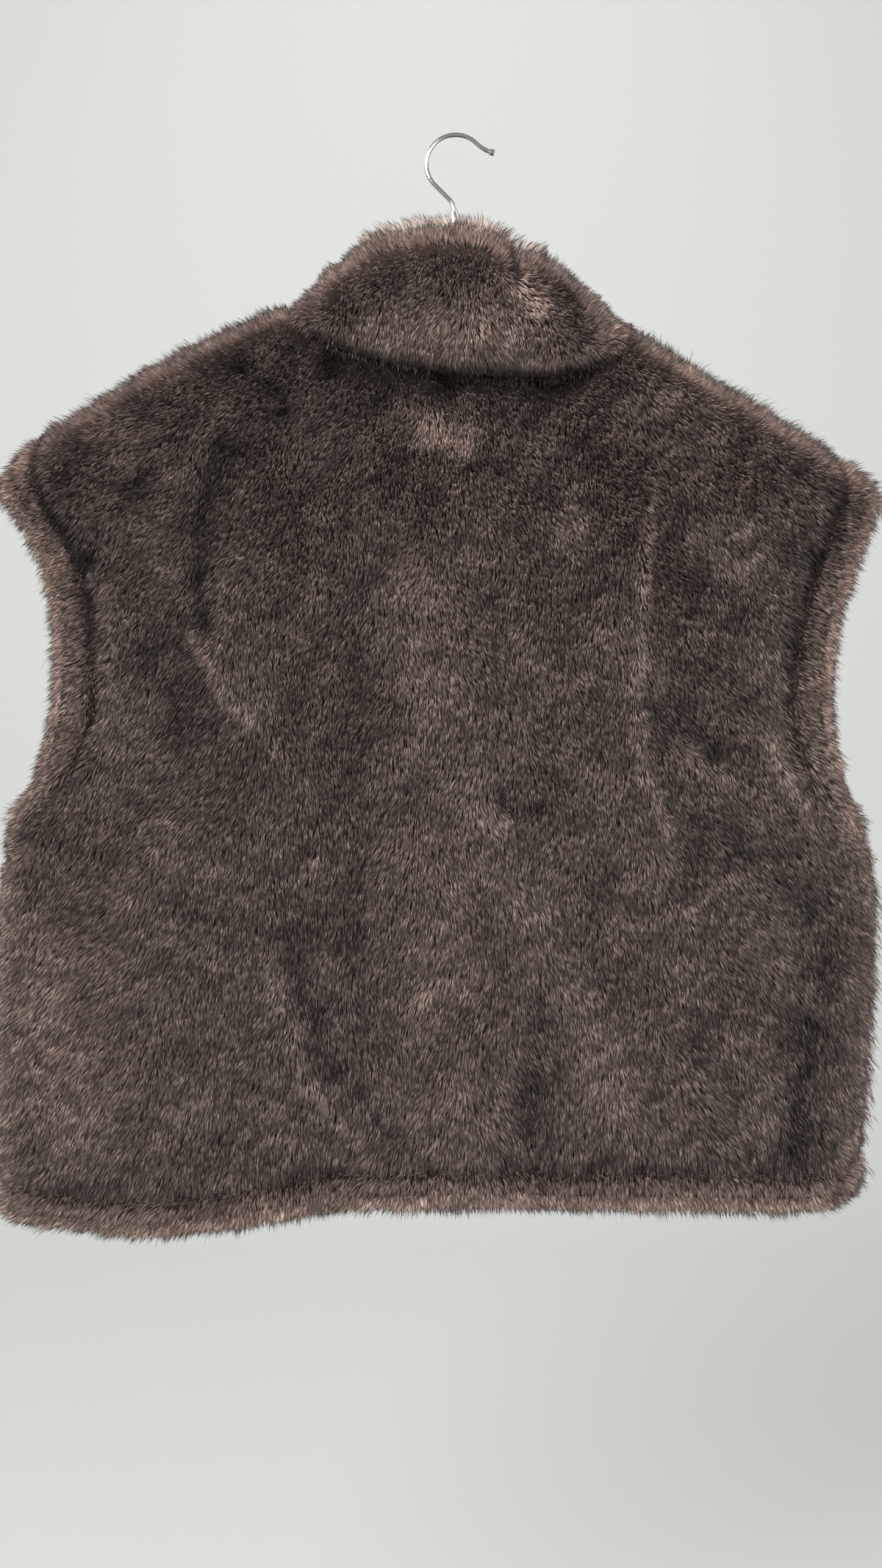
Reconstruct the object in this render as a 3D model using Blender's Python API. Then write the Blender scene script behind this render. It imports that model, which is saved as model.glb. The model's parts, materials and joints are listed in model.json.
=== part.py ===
"""A cropped faux fur vest with a stand collar, hanging on a wooden hanger with a wire hook."""

import math

import bmesh
import bpy
import numpy as np

# Lengths are in metres. The origin is where the hook rests on its nail. +Z is up, +X is to the right
# when one looks at the garment's back, and +Y points to the garment's front, which faces the wall.

# Cloth: each wall is the fur fabric with its pile, from the lining side to the hair tips.
WALL = 0.012
HALF_WALL = WALL / 2
COLLAR_WALL = 0.016
SEAM_GAP = 0.0004
SEAM_SUNK = 0.30
SIDE_SEAM_SUNK = 0.85

# Heights that the side line and the armholes are measured from.
UNDERARM_Z = -0.462
ARMHOLE_MOUTH = 0.055
BAND_WIDTH = 0.030
BAND_FULL_Z = -0.425
BAND_FOOT_Z = -0.495
HEM_BAND = 0.026

# The garment's edge as seen from behind: side line and armhole, from the hem to the shoulder point.
SIDE_LINE = [
    # height, left x, right x
    (-0.740, -0.3080, 0.2660),
    (-0.700, -0.3120, 0.2740),
    (-0.640, -0.3130, 0.2785),
    (-0.570, -0.3120, 0.2825),
    (-0.505, -0.3080, 0.2840),
    (-0.462, -0.3000, 0.2730),
    (-0.437, -0.2820, 0.2590),
    (-0.400, -0.2690, 0.2480),
    (-0.359, -0.2650, 0.2480),
    (-0.320, -0.2670, 0.2550),
    (-0.290, -0.2750, 0.2650),
    (-0.262, -0.2900, 0.2755),
    (-0.243, -0.3040, 0.2810),
]
SHOULDER_LINE = [
    # x, height of the top of the fur
    (-0.3040, -0.2360),
    (-0.2880, -0.2125),
    (-0.2490, -0.1870),
    (-0.2090, -0.1615),
    (-0.1690, -0.1410),
    (-0.1140, -0.1180),
    (0.1120, -0.1300),
    (0.1490, -0.1530),
    (0.1890, -0.1765),
    (0.2290, -0.2010),
    (0.2680, -0.2275),
    (0.2850, -0.2460),
]
SHOULDER_PITCH = math.radians(30)

# Neckline: it sags from the neck points on the back and on the front, a little lower right of the centre.
NECK_LEFT = -0.110
NECK_RIGHT = 0.112
NECK_X = (NECK_LEFT + NECK_RIGHT) / 2
NECK_REACH = (NECK_RIGHT - NECK_LEFT) / 2
BACK_NECK_DROP = 0.041
FRONT_NECK_DROP = 0.050
NECK_LEAN = 0.18
NECK_ROUND = 2.4

# Hem: nearly level, and lower where the cloth hangs long on the left.
HEM_LINE = [
    # x, height
    (-0.320, -0.7275),
    (-0.280, -0.7300),
    (-0.240, -0.7340),
    (-0.205, -0.7365),
    (-0.170, -0.7330),
    (-0.130, -0.7265),
    (-0.090, -0.7195),
    (-0.050, -0.7170),
    (0.050, -0.7165),
    (0.150, -0.7175),
    (0.220, -0.7195),
    (0.290, -0.7180),
]
HEM_SIDE_Z = -0.717
HEM_CORNER = 0.009

# How deep the garment is, from its middle plane to the middle of the wall.
BACK_DEPTH, BACK_CROWN = 0.0255, 0.0065
FRONT_DEPTH, FRONT_CROWN = 0.0235, 0.0045
SIDE_ROUND = 0.028
SHOULDER_ROUND = 0.024
CROWN_REACH = 0.30

# The largest folds: soft ridges, and troughs where the height is negative.
BACK_FOLDS = [
    # x0, z0, x1, z1, half width, height
    (-0.163, -0.255, -0.168, -0.330, 0.013, -0.0050),
    (-0.178, -0.318, -0.118, -0.418, 0.014, 0.0050),
    (0.121, -0.300, 0.112, -0.400, 0.015, 0.0040),
    (0.112, -0.400, 0.136, -0.470, 0.014, 0.0045),
    (0.150, -0.380, 0.178, -0.430, 0.016, -0.0045),
    (0.236, -0.490, 0.222, -0.668, 0.018, -0.0055),
    (0.053, -0.590, 0.048, -0.690, 0.018, -0.0050),
    (-0.100, -0.560, -0.088, -0.680, 0.018, -0.0050),
    (-0.205, -0.520, -0.225, -0.660, 0.030, 0.0040),
    (-0.030, -0.196, 0.010, -0.206, 0.014, -0.0040),
    (-0.020, -0.218, 0.004, -0.226, 0.012, 0.0030),
]
FRONT_FOLDS = [
    (-0.150, -0.270, -0.175, -0.430, 0.018, -0.0045),
    (-0.095, -0.460, -0.120, -0.680, 0.022, 0.0050),
    (-0.200, -0.500, -0.215, -0.670, 0.018, -0.0045),
    (0.140, -0.280, 0.160, -0.440, 0.018, -0.0045),
    (0.080, -0.480, 0.100, -0.690, 0.022, 0.0050),
    (0.190, -0.520, 0.200, -0.680, 0.018, -0.0045),
]

# Collar: a tall stand that leans in over the hanger's arms.
COLLAR_TOP_X = 0.0015
COLLAR_TOP_REACH = 0.065
COLLAR_TOP_BACK, COLLAR_TOP_FRONT = 0.034, 0.031
COLLAR_TOP_LINE = [
    # x, height of the top edge
    (-0.0635, -0.0870),
    (-0.0520, -0.0785),
    (-0.0350, -0.0755),
    (-0.0100, -0.0750),
    (0.0120, -0.0765),
    (0.0280, -0.0800),
    (0.0420, -0.0850),
    (0.0550, -0.0870),
    (0.0665, -0.0940),
]
COLLAR_BULGE_BACK, COLLAR_BULGE_SIDE = 0.009, 0.001
COLLAR_FRONT_GAP = math.radians(1.0)
COLLAR_FOLDS = [
    # angle from centre back at the base and at the top, half width, height, share of the height where it starts
    (math.radians(20), math.radians(38), math.radians(7), -0.0060, 0.30),
    (math.radians(40), math.radians(62), math.radians(16), -0.0035, 0.25),
    (math.radians(-40), math.radians(-30), math.radians(13), -0.0025, 0.40),
]

# Front opening: two rounded edges that meet.
FRONT_GAP = 0.0010

# Hanger and hook.
HANGER_THICK = 0.012
HANGER_TALL_MIDDLE, HANGER_TALL_END = 0.034, 0.020
HANGER_REACH = 0.205
HANGER_PEAK_Z = -0.112
HANGER_SEAT_GAP = 0.0006
WIRE_R = 0.0015
HOOK_R = 0.020
HOOK_STEM_X = -0.0015
HOOK_TIP_ANGLE = math.radians(45)
HOOK_BACK_ANGLE = math.radians(225)
HOOK_TIP_CURVE_R = 0.024
HOOK_NECK_R = 0.009
HOOK_TIP_FLARE = 1.45

# How finely the panels are divided: rows by height and columns across.
BODY_ROWS, CHEST_ROWS, ARC_STEPS = 8, 9, 4
FOOT_ROWS = [0.004, 0.010, 0.018, 0.029, 0.042]
SHOULDER_COLUMNS, NECK_COLUMNS = 6, 12
COLLAR_SPLITS = 2

BACK, FRONT = -1, 1
LEFT, RIGHT = 0, 1

# Places across a free edge and beside a seam, from the edge inwards, and the share of the wall there.
FREE_EDGE = [(0.0, 0.18), (0.0009, 0.52), (0.0028, 0.84), (0.0060, 1.0)]
SEAM_EDGE = [(0.0, SEAM_SUNK), (0.0025, 0.72), (0.0080, 1.0)]


def smooth_between(places, values, at):
    """The value at a place, on a smooth curve through a table's rows."""
    places, values = np.asarray(places), np.asarray(values)
    at = np.clip(at, places[0], places[-1])
    slopes = np.gradient(values, places)
    i = np.clip(np.searchsorted(places, at) - 1, 0, len(places) - 2)
    step = places[i + 1] - places[i]
    t = (at - places[i]) / step
    rise = (2 * t**3 - 3 * t**2 + 1) * values[i] + (3 * t**2 - 2 * t**3) * values[i + 1]
    return rise + step * ((t**3 - 2 * t**2 + t) * slopes[i] + (t**3 - t**2) * slopes[i + 1])


def ease(t):
    t = np.clip(t, 0, 1)
    return t * t * (3 - 2 * t)


def armhole_openness(z):
    """0 where back and front meet at the side, and 1 where the armhole holds them apart."""
    share = np.clip((z - UNDERARM_Z) / ARMHOLE_MOUTH, 0, 1)
    return np.sin(share * math.pi / 2) ** 0.75


def side_x(z, side):
    """The middle of the wall at the side line or the armhole's edge."""
    rows = np.array(SIDE_LINE)
    outline = smooth_between(rows[:, 0], rows[:, 1 + side], z)
    inwards = 1 if side == LEFT else -1
    return outline + inwards * HALF_WALL * (1 - armhole_openness(z))


def band_inset(z):
    """How far inside the side line the armhole band's seam lies."""
    return BAND_WIDTH * np.clip((z - BAND_FOOT_Z) / (BAND_FULL_Z - BAND_FOOT_Z), 0, 1) ** 0.85


def shoulder_z(x):
    rows = np.array(SHOULDER_LINE)
    return smooth_between(rows[:, 0], rows[:, 1], x) - HALF_WALL / math.cos(SHOULDER_PITCH)


def neck_share(x):
    """0 at the neck points, and 1 where the neckline is lowest."""
    across = np.clip((x - NECK_X) / NECK_REACH, -1, 1)
    across = across - NECK_LEAN * (1 - across**2)
    return np.clip(1 - np.abs(across) ** NECK_ROUND, 0, 1) ** (1 / NECK_ROUND)


def ridge_z(x):
    """Where back and front would meet: the shoulders, and the straight line between the neck points."""
    across = (x - NECK_LEFT) / (NECK_RIGHT - NECK_LEFT)
    level = shoulder_z(NECK_LEFT) * (1 - across) + shoulder_z(NECK_RIGHT) * across
    return np.where((x > NECK_LEFT) & (x < NECK_RIGHT), level, shoulder_z(x))


def neck_z(x, face):
    """The neckline's height: the cut through back or front below the ridge."""
    return ridge_z(x) - (BACK_NECK_DROP if face == BACK else FRONT_NECK_DROP) * neck_share(x)


def top_z(x, face):
    inside = (x > NECK_LEFT) & (x < NECK_RIGHT)
    return np.where(inside, neck_z(x, face), shoulder_z(x))


def hem_z(x):
    rows = np.array(HEM_LINE)
    z = smooth_between(rows[:, 0], rows[:, 1], x)
    from_side = np.minimum(x - side_x(HEM_SIDE_Z, LEFT), side_x(HEM_SIDE_Z, RIGHT) - x)
    return z + HEM_CORNER * (1 - rounded(from_side, 2 * HEM_CORNER))


def rounded(distance, radius, openness=0.0):
    """A quarter round that starts at the share openness and reaches 1 at the radius."""
    left = 1 - np.clip(distance / radius, 0, 1)
    return np.sqrt(1 - (1 - np.square(openness)) * left**2)


def fold_height(x, z, folds):
    """How far the folds stand out, with soft flanks and tapered ends."""
    total = np.zeros_like(x)
    for x0, z0, x1, z1, half, height in folds:
        along = np.array([x1 - x0, z1 - z0])
        length = np.hypot(*along)
        along = along / length
        place = (x - x0) * along[0] + (z - z0) * along[1]
        across = (x - x0) * along[1] - (z - z0) * along[0]
        past_end = np.maximum(np.maximum(-place, place - length), 0)
        total = total + height * np.exp(-((across / half) ** 2) - (past_end / (1.6 * half)) ** 2)
    return total


def cloth_y(x, z, face):
    """The middle of the wall of the back or the front at a place in the view from behind."""
    depth, crown, folds = (
        (BACK_DEPTH, BACK_CROWN, BACK_FOLDS) if face == BACK else (FRONT_DEPTH, FRONT_CROWN, FRONT_FOLDS)
    )
    half_depth = depth + crown * (1 - (x / CROWN_REACH) ** 2)
    from_side = np.minimum(x - side_x(z, LEFT), side_x(z, RIGHT) - x)
    side = rounded(from_side, SIDE_ROUND, armhole_openness(z))
    top = rounded(ridge_z(x) - z, SHOULDER_ROUND)
    return face * (half_depth * side * top + fold_height(x, z, folds) * side * top)


def cloth_normal(x, y, z, face):
    """Which way the wall faces, from the slope a hair's breadth inside the panel."""
    step = 0.00002
    x = np.clip(x, side_x(z, LEFT) + 2 * step, side_x(z, RIGHT) - 2 * step)
    outwards = np.where(x < NECK_X, -step, step)
    z = np.minimum(z, np.minimum(ridge_z(x), ridge_z(x + outwards)) - step)
    here = cloth_y(x, z, face)
    slope_x = (cloth_y(x + outwards, z, face) - here) / outwards
    slope_z = (here - cloth_y(x, z - step, face)) / step
    normal = np.stack([-face * slope_x, np.full_like(x, face), -face * slope_z], axis=-1)
    normal[..., 1] = np.where(np.abs(y) < SEAM_GAP, 0, normal[..., 1])
    return normal / np.linalg.norm(normal, axis=-1, keepdims=True)


def cloth_grid(x, z, face):
    """Middle points and normals of a stretch of back or front, kept just off the middle plane."""
    y = cloth_y(x, z, face)
    normal = cloth_normal(x, y, z, face)
    y = face * np.maximum(np.abs(y), SEAM_GAP / 2)
    return np.stack([x, y, z], axis=-1), normal


def add_object(name, vertices, faces, material):
    mesh = bpy.data.meshes.new(name)
    mesh.from_pydata([tuple(p) for p in vertices], [], [tuple(f) for f in faces])
    shaper = bmesh.new()
    shaper.from_mesh(mesh)
    bmesh.ops.triangulate(shaper, faces=[f for f in shaper.faces if len(f.verts) > 4])
    bmesh.ops.recalc_face_normals(shaper, faces=shaper.faces)
    shaper.to_mesh(mesh)
    shaper.free()
    mesh.shade_smooth()
    mesh.set_sharp_from_angle(angle=math.radians(50))
    mesh.materials.append(material)
    thing = bpy.data.objects.new(name, mesh)
    bpy.context.scene.collection.objects.link(thing)
    return thing


def cap_faces(middle, near, far, i, j, row_i, row_j):
    """Two triangles across a wall's edge, split the same way in the pieces on both sides of a seam."""
    split = np.array([0.37, 0.05, 1.0])
    a, b = (i, row_i), (j, row_j)
    if middle[a] @ split < middle[b] @ split:
        return [(near[a], far[b], far[a]), (near[a], near[b], far[b])]
    return [(near[a], near[b], far[a]), (near[b], far[b], far[a])]


def add_wall(name, middle, normal, outer, inner, material, half=HALF_WALL, ring=False):
    """A closed cloth wall round a grid of middle points. outer and inner are shares of the half wall."""
    reach = np.broadcast_to(np.asarray(half, float), outer.shape)[..., None]
    outside = middle + normal * reach * outer[..., None]
    inside = middle - normal * reach * inner[..., None]
    columns, rows = outer.shape
    index = np.arange(columns * rows).reshape(columns, rows)
    far = index + columns * rows
    faces = []
    last = columns if ring else columns - 1
    for i in range(last):
        j = (i + 1) % columns
        for k in range(rows - 1):
            faces.append((index[i, k], index[j, k], index[j, k + 1], index[i, k + 1]))
            faces.append((far[i, k], far[i, k + 1], far[j, k + 1], far[j, k]))
        for row in (0, rows - 1):
            faces += cap_faces(middle, index, far, i, j, row, row)
    if not ring:
        for k in range(rows - 1):
            for column in (0, columns - 1):
                faces += cap_faces(middle, index, far, column, column, k, k + 1)
    points = np.concatenate([outside.reshape(-1, 3), inside.reshape(-1, 3)])
    return add_object(name, points, faces, material)


def arc_places(radius, count):
    """Distances from a rounded edge, evenly spaced by angle."""
    return radius * (1 - np.cos(np.linspace(0, math.pi / 2, count + 1)))


def row_heights(bottom, top, foot):
    """Heights of a panel's rows in one column: seam rows, side rows, armhole rows and shoulder rows."""
    low = [bottom + place for place, _ in SEAM_EDGE]
    body = np.linspace(low[-1], foot, BODY_ROWS + 1)[1:]
    arc = arc_places(SHOULDER_ROUND, ARC_STEPS)[::-1]
    foot_rows = foot + np.array(FOOT_ROWS)
    chest = np.linspace(foot_rows[-1], top - arc[0], CHEST_ROWS + 1)[1:]
    return np.concatenate([low, body, foot_rows, chest, top - arc[1:]])


def seam_top(side):
    """Where the armhole band's seam meets the shoulder."""
    x = side_x(0, side) + (BAND_WIDTH if side == LEFT else -BAND_WIDTH)
    return float(x), float(top_z(np.array(x), BACK))


def side_heights(side):
    x = side_x(HEM_SIDE_Z, side)
    return row_heights(float(hem_z(x)) + HEM_BAND + SEAM_GAP / 2, seam_top(side)[1], BAND_FOOT_Z)


def inner_shares():
    """The columns between the rounded sides, as shares of the width at the hem and at the top."""
    arc = arc_places(SIDE_ROUND, ARC_STEPS)[-1]
    left = seam_top(LEFT)[0] + SEAM_GAP / 2 + arc
    right = seam_top(RIGHT)[0] - SEAM_GAP / 2 - arc
    # The outermost two lie a hair outside the neckline, so that back and front meet there.
    neck = NECK_X + (NECK_REACH + 1e-6) * np.sin(np.linspace(-math.pi / 2, math.pi / 2, NECK_COLUMNS + 1))
    top = np.concatenate(
        [
            np.linspace(left, NECK_LEFT, SHOULDER_COLUMNS + 1)[:-1],
            neck,
            np.linspace(NECK_RIGHT, right, SHOULDER_COLUMNS + 1)[1:],
        ]
    )
    return np.linspace(0, 1, len(top)), (top - left) / (right - left)


def panel_x(z_left, z_right, climb, gap=SEAM_GAP / 2):
    """Places across the garment at one row. climb is 0 at the hem and 1 at the shoulders."""
    arc = arc_places(SIDE_ROUND, ARC_STEPS)
    left = side_x(z_left, LEFT) + band_inset(z_left) + gap * (z_left > BAND_FOOT_Z)
    right = side_x(z_right, RIGHT) - band_inset(z_right) - gap * (z_right > BAND_FOOT_Z)
    at_hem, at_top = inner_shares()
    share = at_hem + (at_top - at_hem) * ease((climb - 0.35) / 0.65)
    inner = left + arc[-1] + (right - left - 2 * arc[-1]) * share
    return np.concatenate([left + arc[:-1], inner, (right - arc[:-1])[::-1]])


def panel_grid(face):
    """x and z of the whole back or front between its seams, columns first."""
    heights = [side_heights(side) for side in (LEFT, RIGHT)]
    count = len(heights[0])
    x = np.stack([panel_x(heights[0][k], heights[1][k], k / (count - 1)) for k in range(count)], axis=1)
    z = np.empty_like(x)
    for i in range(len(x)):
        top = float(top_z(x[i, -1], face))
        share = i / (len(x) - 1)
        # Towards the middle the armhole's foot has no meaning, and the rows spread evenly.
        foot = BAND_FOOT_Z + 0.03 * math.sin(math.pi * share)
        z[i] = row_heights(float(hem_z(x[i, 0])) + HEM_BAND + SEAM_GAP / 2, top, foot)
    for i, side in ((0, LEFT), (-1, RIGHT)):
        z[i] = heights[side]
    return x, z


def seam_share(x, z, face):
    """The share of the wall that the pile fills, sunk along the seams."""
    share = np.ones_like(x)
    from_bottom = z - z[:, :1]
    from_left, from_right = x - x[:1], x[-1:] - x
    places, sunk = zip(*SEAM_EDGE)
    share = np.minimum(share, np.interp(from_bottom, places, sunk))
    neck = (x[:, -1:] > NECK_LEFT + 0.001) & (x[:, -1:] < NECK_RIGHT - 0.001)
    at_top = np.interp(z[:, -1:] - z, places, sunk)
    shoulder = np.interp(z[:, -1:] - z, places, (SIDE_SEAM_SUNK, 0.95, 1.0))
    share = np.minimum(share, np.where(neck, at_top, shoulder))
    banded = z > BAND_FOOT_Z + 0.004
    for distance in (from_left, from_right):
        beside_band = np.interp(distance, places, sunk)
        beside_side = np.interp(distance, places, (SIDE_SEAM_SUNK, 0.95, 1.0))
        share = np.minimum(share, np.where(banded, beside_band, beside_side))
    return share


def add_back(material):
    x, z = panel_grid(BACK)
    middle, normal = cloth_grid(x, z, BACK)
    add_wall("back_panel", middle, normal, seam_share(x, z, BACK), np.ones_like(x), material)


def front_half(x, side):
    """The columns of one front, ending in a rounded free edge at the centre front."""
    centre = ARC_STEPS + SHOULDER_COLUMNS + NECK_COLUMNS // 2
    middle_line = x[centre]
    edges = np.array([place for place, _ in FREE_EDGE])[::-1] + FRONT_GAP / 2
    if side == LEFT:
        return np.concatenate([x[:centre], middle_line - edges[:, None]])
    return np.concatenate([middle_line + edges[::-1, None], x[centre + 1 :]])


def edge_shares(count, side):
    """The wall's share across a front: whole, then rounded off at the centre front."""
    rounding = [share for _, share in FREE_EDGE]
    across = np.concatenate([np.ones(count - len(rounding)), rounding[::-1]])
    return (across if side == LEFT else across[::-1])[:, None]


def add_fronts(material):
    whole_x, whole_z = panel_grid(FRONT)
    sunk = seam_share(whole_x, whole_z, FRONT)
    centre = ARC_STEPS + SHOULDER_COLUMNS + NECK_COLUMNS // 2
    for side, name in ((LEFT, "front_panel_left"), (RIGHT, "front_panel_right")):
        x = front_half(whole_x, side)
        pick = (lambda grid: np.concatenate([grid[:centre], np.repeat(grid[centre : centre + 1], 4, 0)])) \
            if side == LEFT else \
            (lambda grid: np.concatenate([np.repeat(grid[centre : centre + 1], 4, 0), grid[centre + 1 :]]))
        z, outer = pick(whole_z), pick(sunk)
        middle, normal = cloth_grid(x, z, FRONT)
        edge = edge_shares(len(x), side)
        add_wall(name, middle, normal, outer * edge, np.ones_like(x) * edge, material)


def add_hem_bands(material):
    """Strips below the hem seam, one on the back and one on each front."""
    free = [place for place, _ in FREE_EDGE]
    places = free + [HEM_BAND / 2] + [HEM_BAND - place for place, _ in SEAM_EDGE][::-1]
    outer = [share for _, share in FREE_EDGE] + [1.0] + [share for _, share in SEAM_EDGE][::-1]
    inner = [share for _, share in FREE_EDGE] + [1.0] * 4
    whole_x, _ = panel_grid(BACK)
    foot = hem_z(whole_x[:, 0])
    z = np.stack([foot + place - SEAM_GAP / 2 * (place == HEM_BAND) for place in places], axis=1)
    x = np.stack([panel_x(z[0, k], z[-1, k], 0) for k in range(len(places))], axis=1)
    centre = ARC_STEPS + SHOULDER_COLUMNS + NECK_COLUMNS // 2
    outer, inner = (np.tile(shares, (len(x), 1)) for shares in (outer, inner))
    middle, normal = cloth_grid(x, z, BACK)
    add_wall("hem_band_back", middle, normal, outer, inner, material)
    for side, name in ((LEFT, "hem_band_left"), (RIGHT, "hem_band_right")):
        half_x = front_half(x, side)
        edge = edge_shares(len(half_x), side)
        rows = np.clip(np.arange(len(half_x)), 0, centre) if side == LEFT else \
            np.clip(np.arange(len(half_x)) + centre - 3, centre, len(x) - 1)
        middle, normal = cloth_grid(half_x, z[rows], FRONT)
        add_wall(name, middle, normal, outer[rows] * edge, inner[rows] * edge, material)


def band_places():
    """Shares across the armhole band from its free edge to its seam, with the wall's shares there."""
    free = [(place / BAND_WIDTH, share, share) for place, share in FREE_EDGE]
    seam = [(1 - place / BAND_WIDTH, share, 1.0) for place, share in SEAM_EDGE][::-1]
    return np.array(free + [(0.5, 1.0, 1.0)] + seam)


def add_armhole_band(name, side, material):
    """A closed strip round one armhole, over the shoulder and under the arm."""
    across, outer, inner = band_places().T
    inwards = 1 if side == LEFT else -1
    seam = side_heights(side)
    seam = seam[seam >= BAND_FOOT_Z - 1e-6][::-1]
    tip_x = float(side_x(0, side))
    over_shoulder = top_z(tip_x + inwards * across * BAND_WIDTH, BACK)
    under_arm = UNDERARM_Z + across * (BAND_FOOT_Z + 2 * SEAM_GAP - UNDERARM_Z)
    sections = []
    for height in seam:
        share = (seam[0] - height) / (seam[0] - seam[-1])
        z = over_shoulder + (under_arm - over_shoulder) * share
        z[-1] = max(height, BAND_FOOT_Z + 2 * SEAM_GAP)
        inset = np.maximum(band_inset(height) - SEAM_GAP, 0) * across
        sections.append((side_x(z, side) + inwards * inset, z))
    x = np.array([section[0] for section in sections])
    z = np.array([section[1] for section in sections])
    x[0] = tip_x + inwards * across * (BAND_WIDTH - SEAM_GAP)
    back, back_normal = cloth_grid(x, z, BACK)
    front, front_normal = cloth_grid(x, z, FRONT)
    for end in (0, -1):
        back[end][:, 1] = 0
    middle = np.concatenate([back, front[-2:0:-1]])
    normal = np.concatenate([back_normal, front_normal[-2:0:-1]])
    outer = np.tile(outer, (len(middle), 1))
    inner = np.tile(inner, (len(middle), 1))
    add_wall(name, middle, normal, outer, inner, material, ring=True)


def neckline(angle):
    """Points of the neckline, by their angle from the centre back, with the wall's normals there."""
    x = NECK_X + NECK_REACH * np.sin(angle)
    on_back = (np.cos(angle) >= 0)[:, None]
    back, back_normal = cloth_grid(x, neck_z(x, BACK), BACK)
    front, front_normal = cloth_grid(x, neck_z(x, FRONT), FRONT)
    return np.where(on_back, back, front), np.where(on_back, back_normal, front_normal)


def add_collar(material):
    """A leaning stand round the neck, open at the centre front and rounded at its top edge."""
    reach = math.pi - COLLAR_FRONT_GAP
    seam_angle = np.linspace(-math.pi, math.pi, 2 * NECK_COLUMNS + 1)
    angle = np.linspace(-math.pi, math.pi, 2 * NECK_COLUMNS * COLLAR_SPLITS + 1)[1:-1]
    edge = np.array([0, 0.012, 0.040])
    angle = np.concatenate([-reach + edge, angle, (reach - edge)[::-1]])
    # Between the panels' columns the base runs straight, as their edge does.
    seam, seam_normal = neckline(seam_angle)
    base = np.stack([np.interp(angle, seam_angle, seam[:, i]) for i in range(3)], axis=1)
    base_normal = np.stack([np.interp(angle, seam_angle, seam_normal[:, i]) for i in range(3)], axis=1)
    base[:, 0] += (NECK_X - base[:, 0]) * 3 * SEAM_GAP / NECK_REACH
    base[:, 2] += 2 * SEAM_GAP
    side, forth = np.sin(angle), np.cos(angle)
    depth = np.where(forth > 0, COLLAR_TOP_BACK, COLLAR_TOP_FRONT)
    top_x = COLLAR_TOP_X + COLLAR_TOP_REACH * side
    line = np.array(COLLAR_TOP_LINE)
    top = np.stack([top_x, -depth * forth, smooth_between(line[:, 0], line[:, 1], top_x)], axis=1)
    rise = np.array([0, 0.03, 0.10, 0.24, 0.42, 0.60, 0.77, 0.89, 0.955, 0.987, 1.0])
    half = HALF_WALL + (COLLAR_WALL / 2 - HALF_WALL) * ease(rise / 0.55)
    outer = np.array([SEAM_SUNK, 0.72, 1, 1, 1, 1, 1, 1, 0.86, 0.55, 0.18])
    inner = np.array([1, 1, 1, 1, 1, 1, 1, 1, 0.86, 0.55, 0.18])
    straight = top - base
    outwards = np.stack([side, -forth, np.zeros_like(side)], axis=1)
    around = np.gradient(base + top, angle, axis=0)
    lean = np.cross(around, straight)
    lean /= np.linalg.norm(lean, axis=1, keepdims=True)
    lean *= np.sign((lean * outwards).sum(axis=1, keepdims=True))
    swell = COLLAR_BULGE_SIDE + (COLLAR_BULGE_BACK - COLLAR_BULGE_SIDE) * np.abs(forth)
    swell = swell[:, None] * np.sin(math.pi * rise**0.62)[None, :]
    middle = base[:, None] + straight[:, None] * rise[None, :, None]
    folds = np.zeros((len(angle), len(rise)))
    for at_base, at_top, width, height, start in COLLAR_FOLDS:
        where = at_base + (at_top - at_base) * rise
        folds += height * np.exp(-(((angle[:, None] - where) / width) ** 2)) * ease((rise - start) / 0.3)
    middle = middle + lean[:, None] * (swell + folds)[..., None]
    settle = ease(rise / 0.2)[None, :, None]
    normal = base_normal[:, None] * (1 - settle) + lean[:, None] * settle
    normal /= np.linalg.norm(normal, axis=2, keepdims=True)
    ends = np.ones(len(angle))
    ends[[0, 1, 2, -1, -2, -3]] = [0.3, 0.7, 1.0, 0.3, 0.7, 1.0]
    add_wall(
        "collar",
        middle,
        normal,
        outer[None] * ends[:, None],
        inner[None] * ends[:, None],
        material,
        half=np.broadcast_to(half, folds.shape),
    )


def hanger_top(x):
    """The hanger's top line: under the shoulder seams, and straight up to its peak between them."""
    shoulder = shoulder_z(x) - HALF_WALL / math.cos(SHOULDER_PITCH) - HANGER_SEAT_GAP
    neck_x = NECK_LEFT if x < 0 else NECK_RIGHT
    neck = float(shoulder_z(neck_x)) - HALF_WALL / math.cos(SHOULDER_PITCH) - HANGER_SEAT_GAP
    if abs(x) >= abs(neck_x):
        return float(shoulder)
    share = abs(x / neck_x)
    straight = HANGER_PEAK_Z + (neck - HANGER_PEAK_Z) * share
    return straight - 0.004 * math.sin(math.pi * share) ** 2


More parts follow.
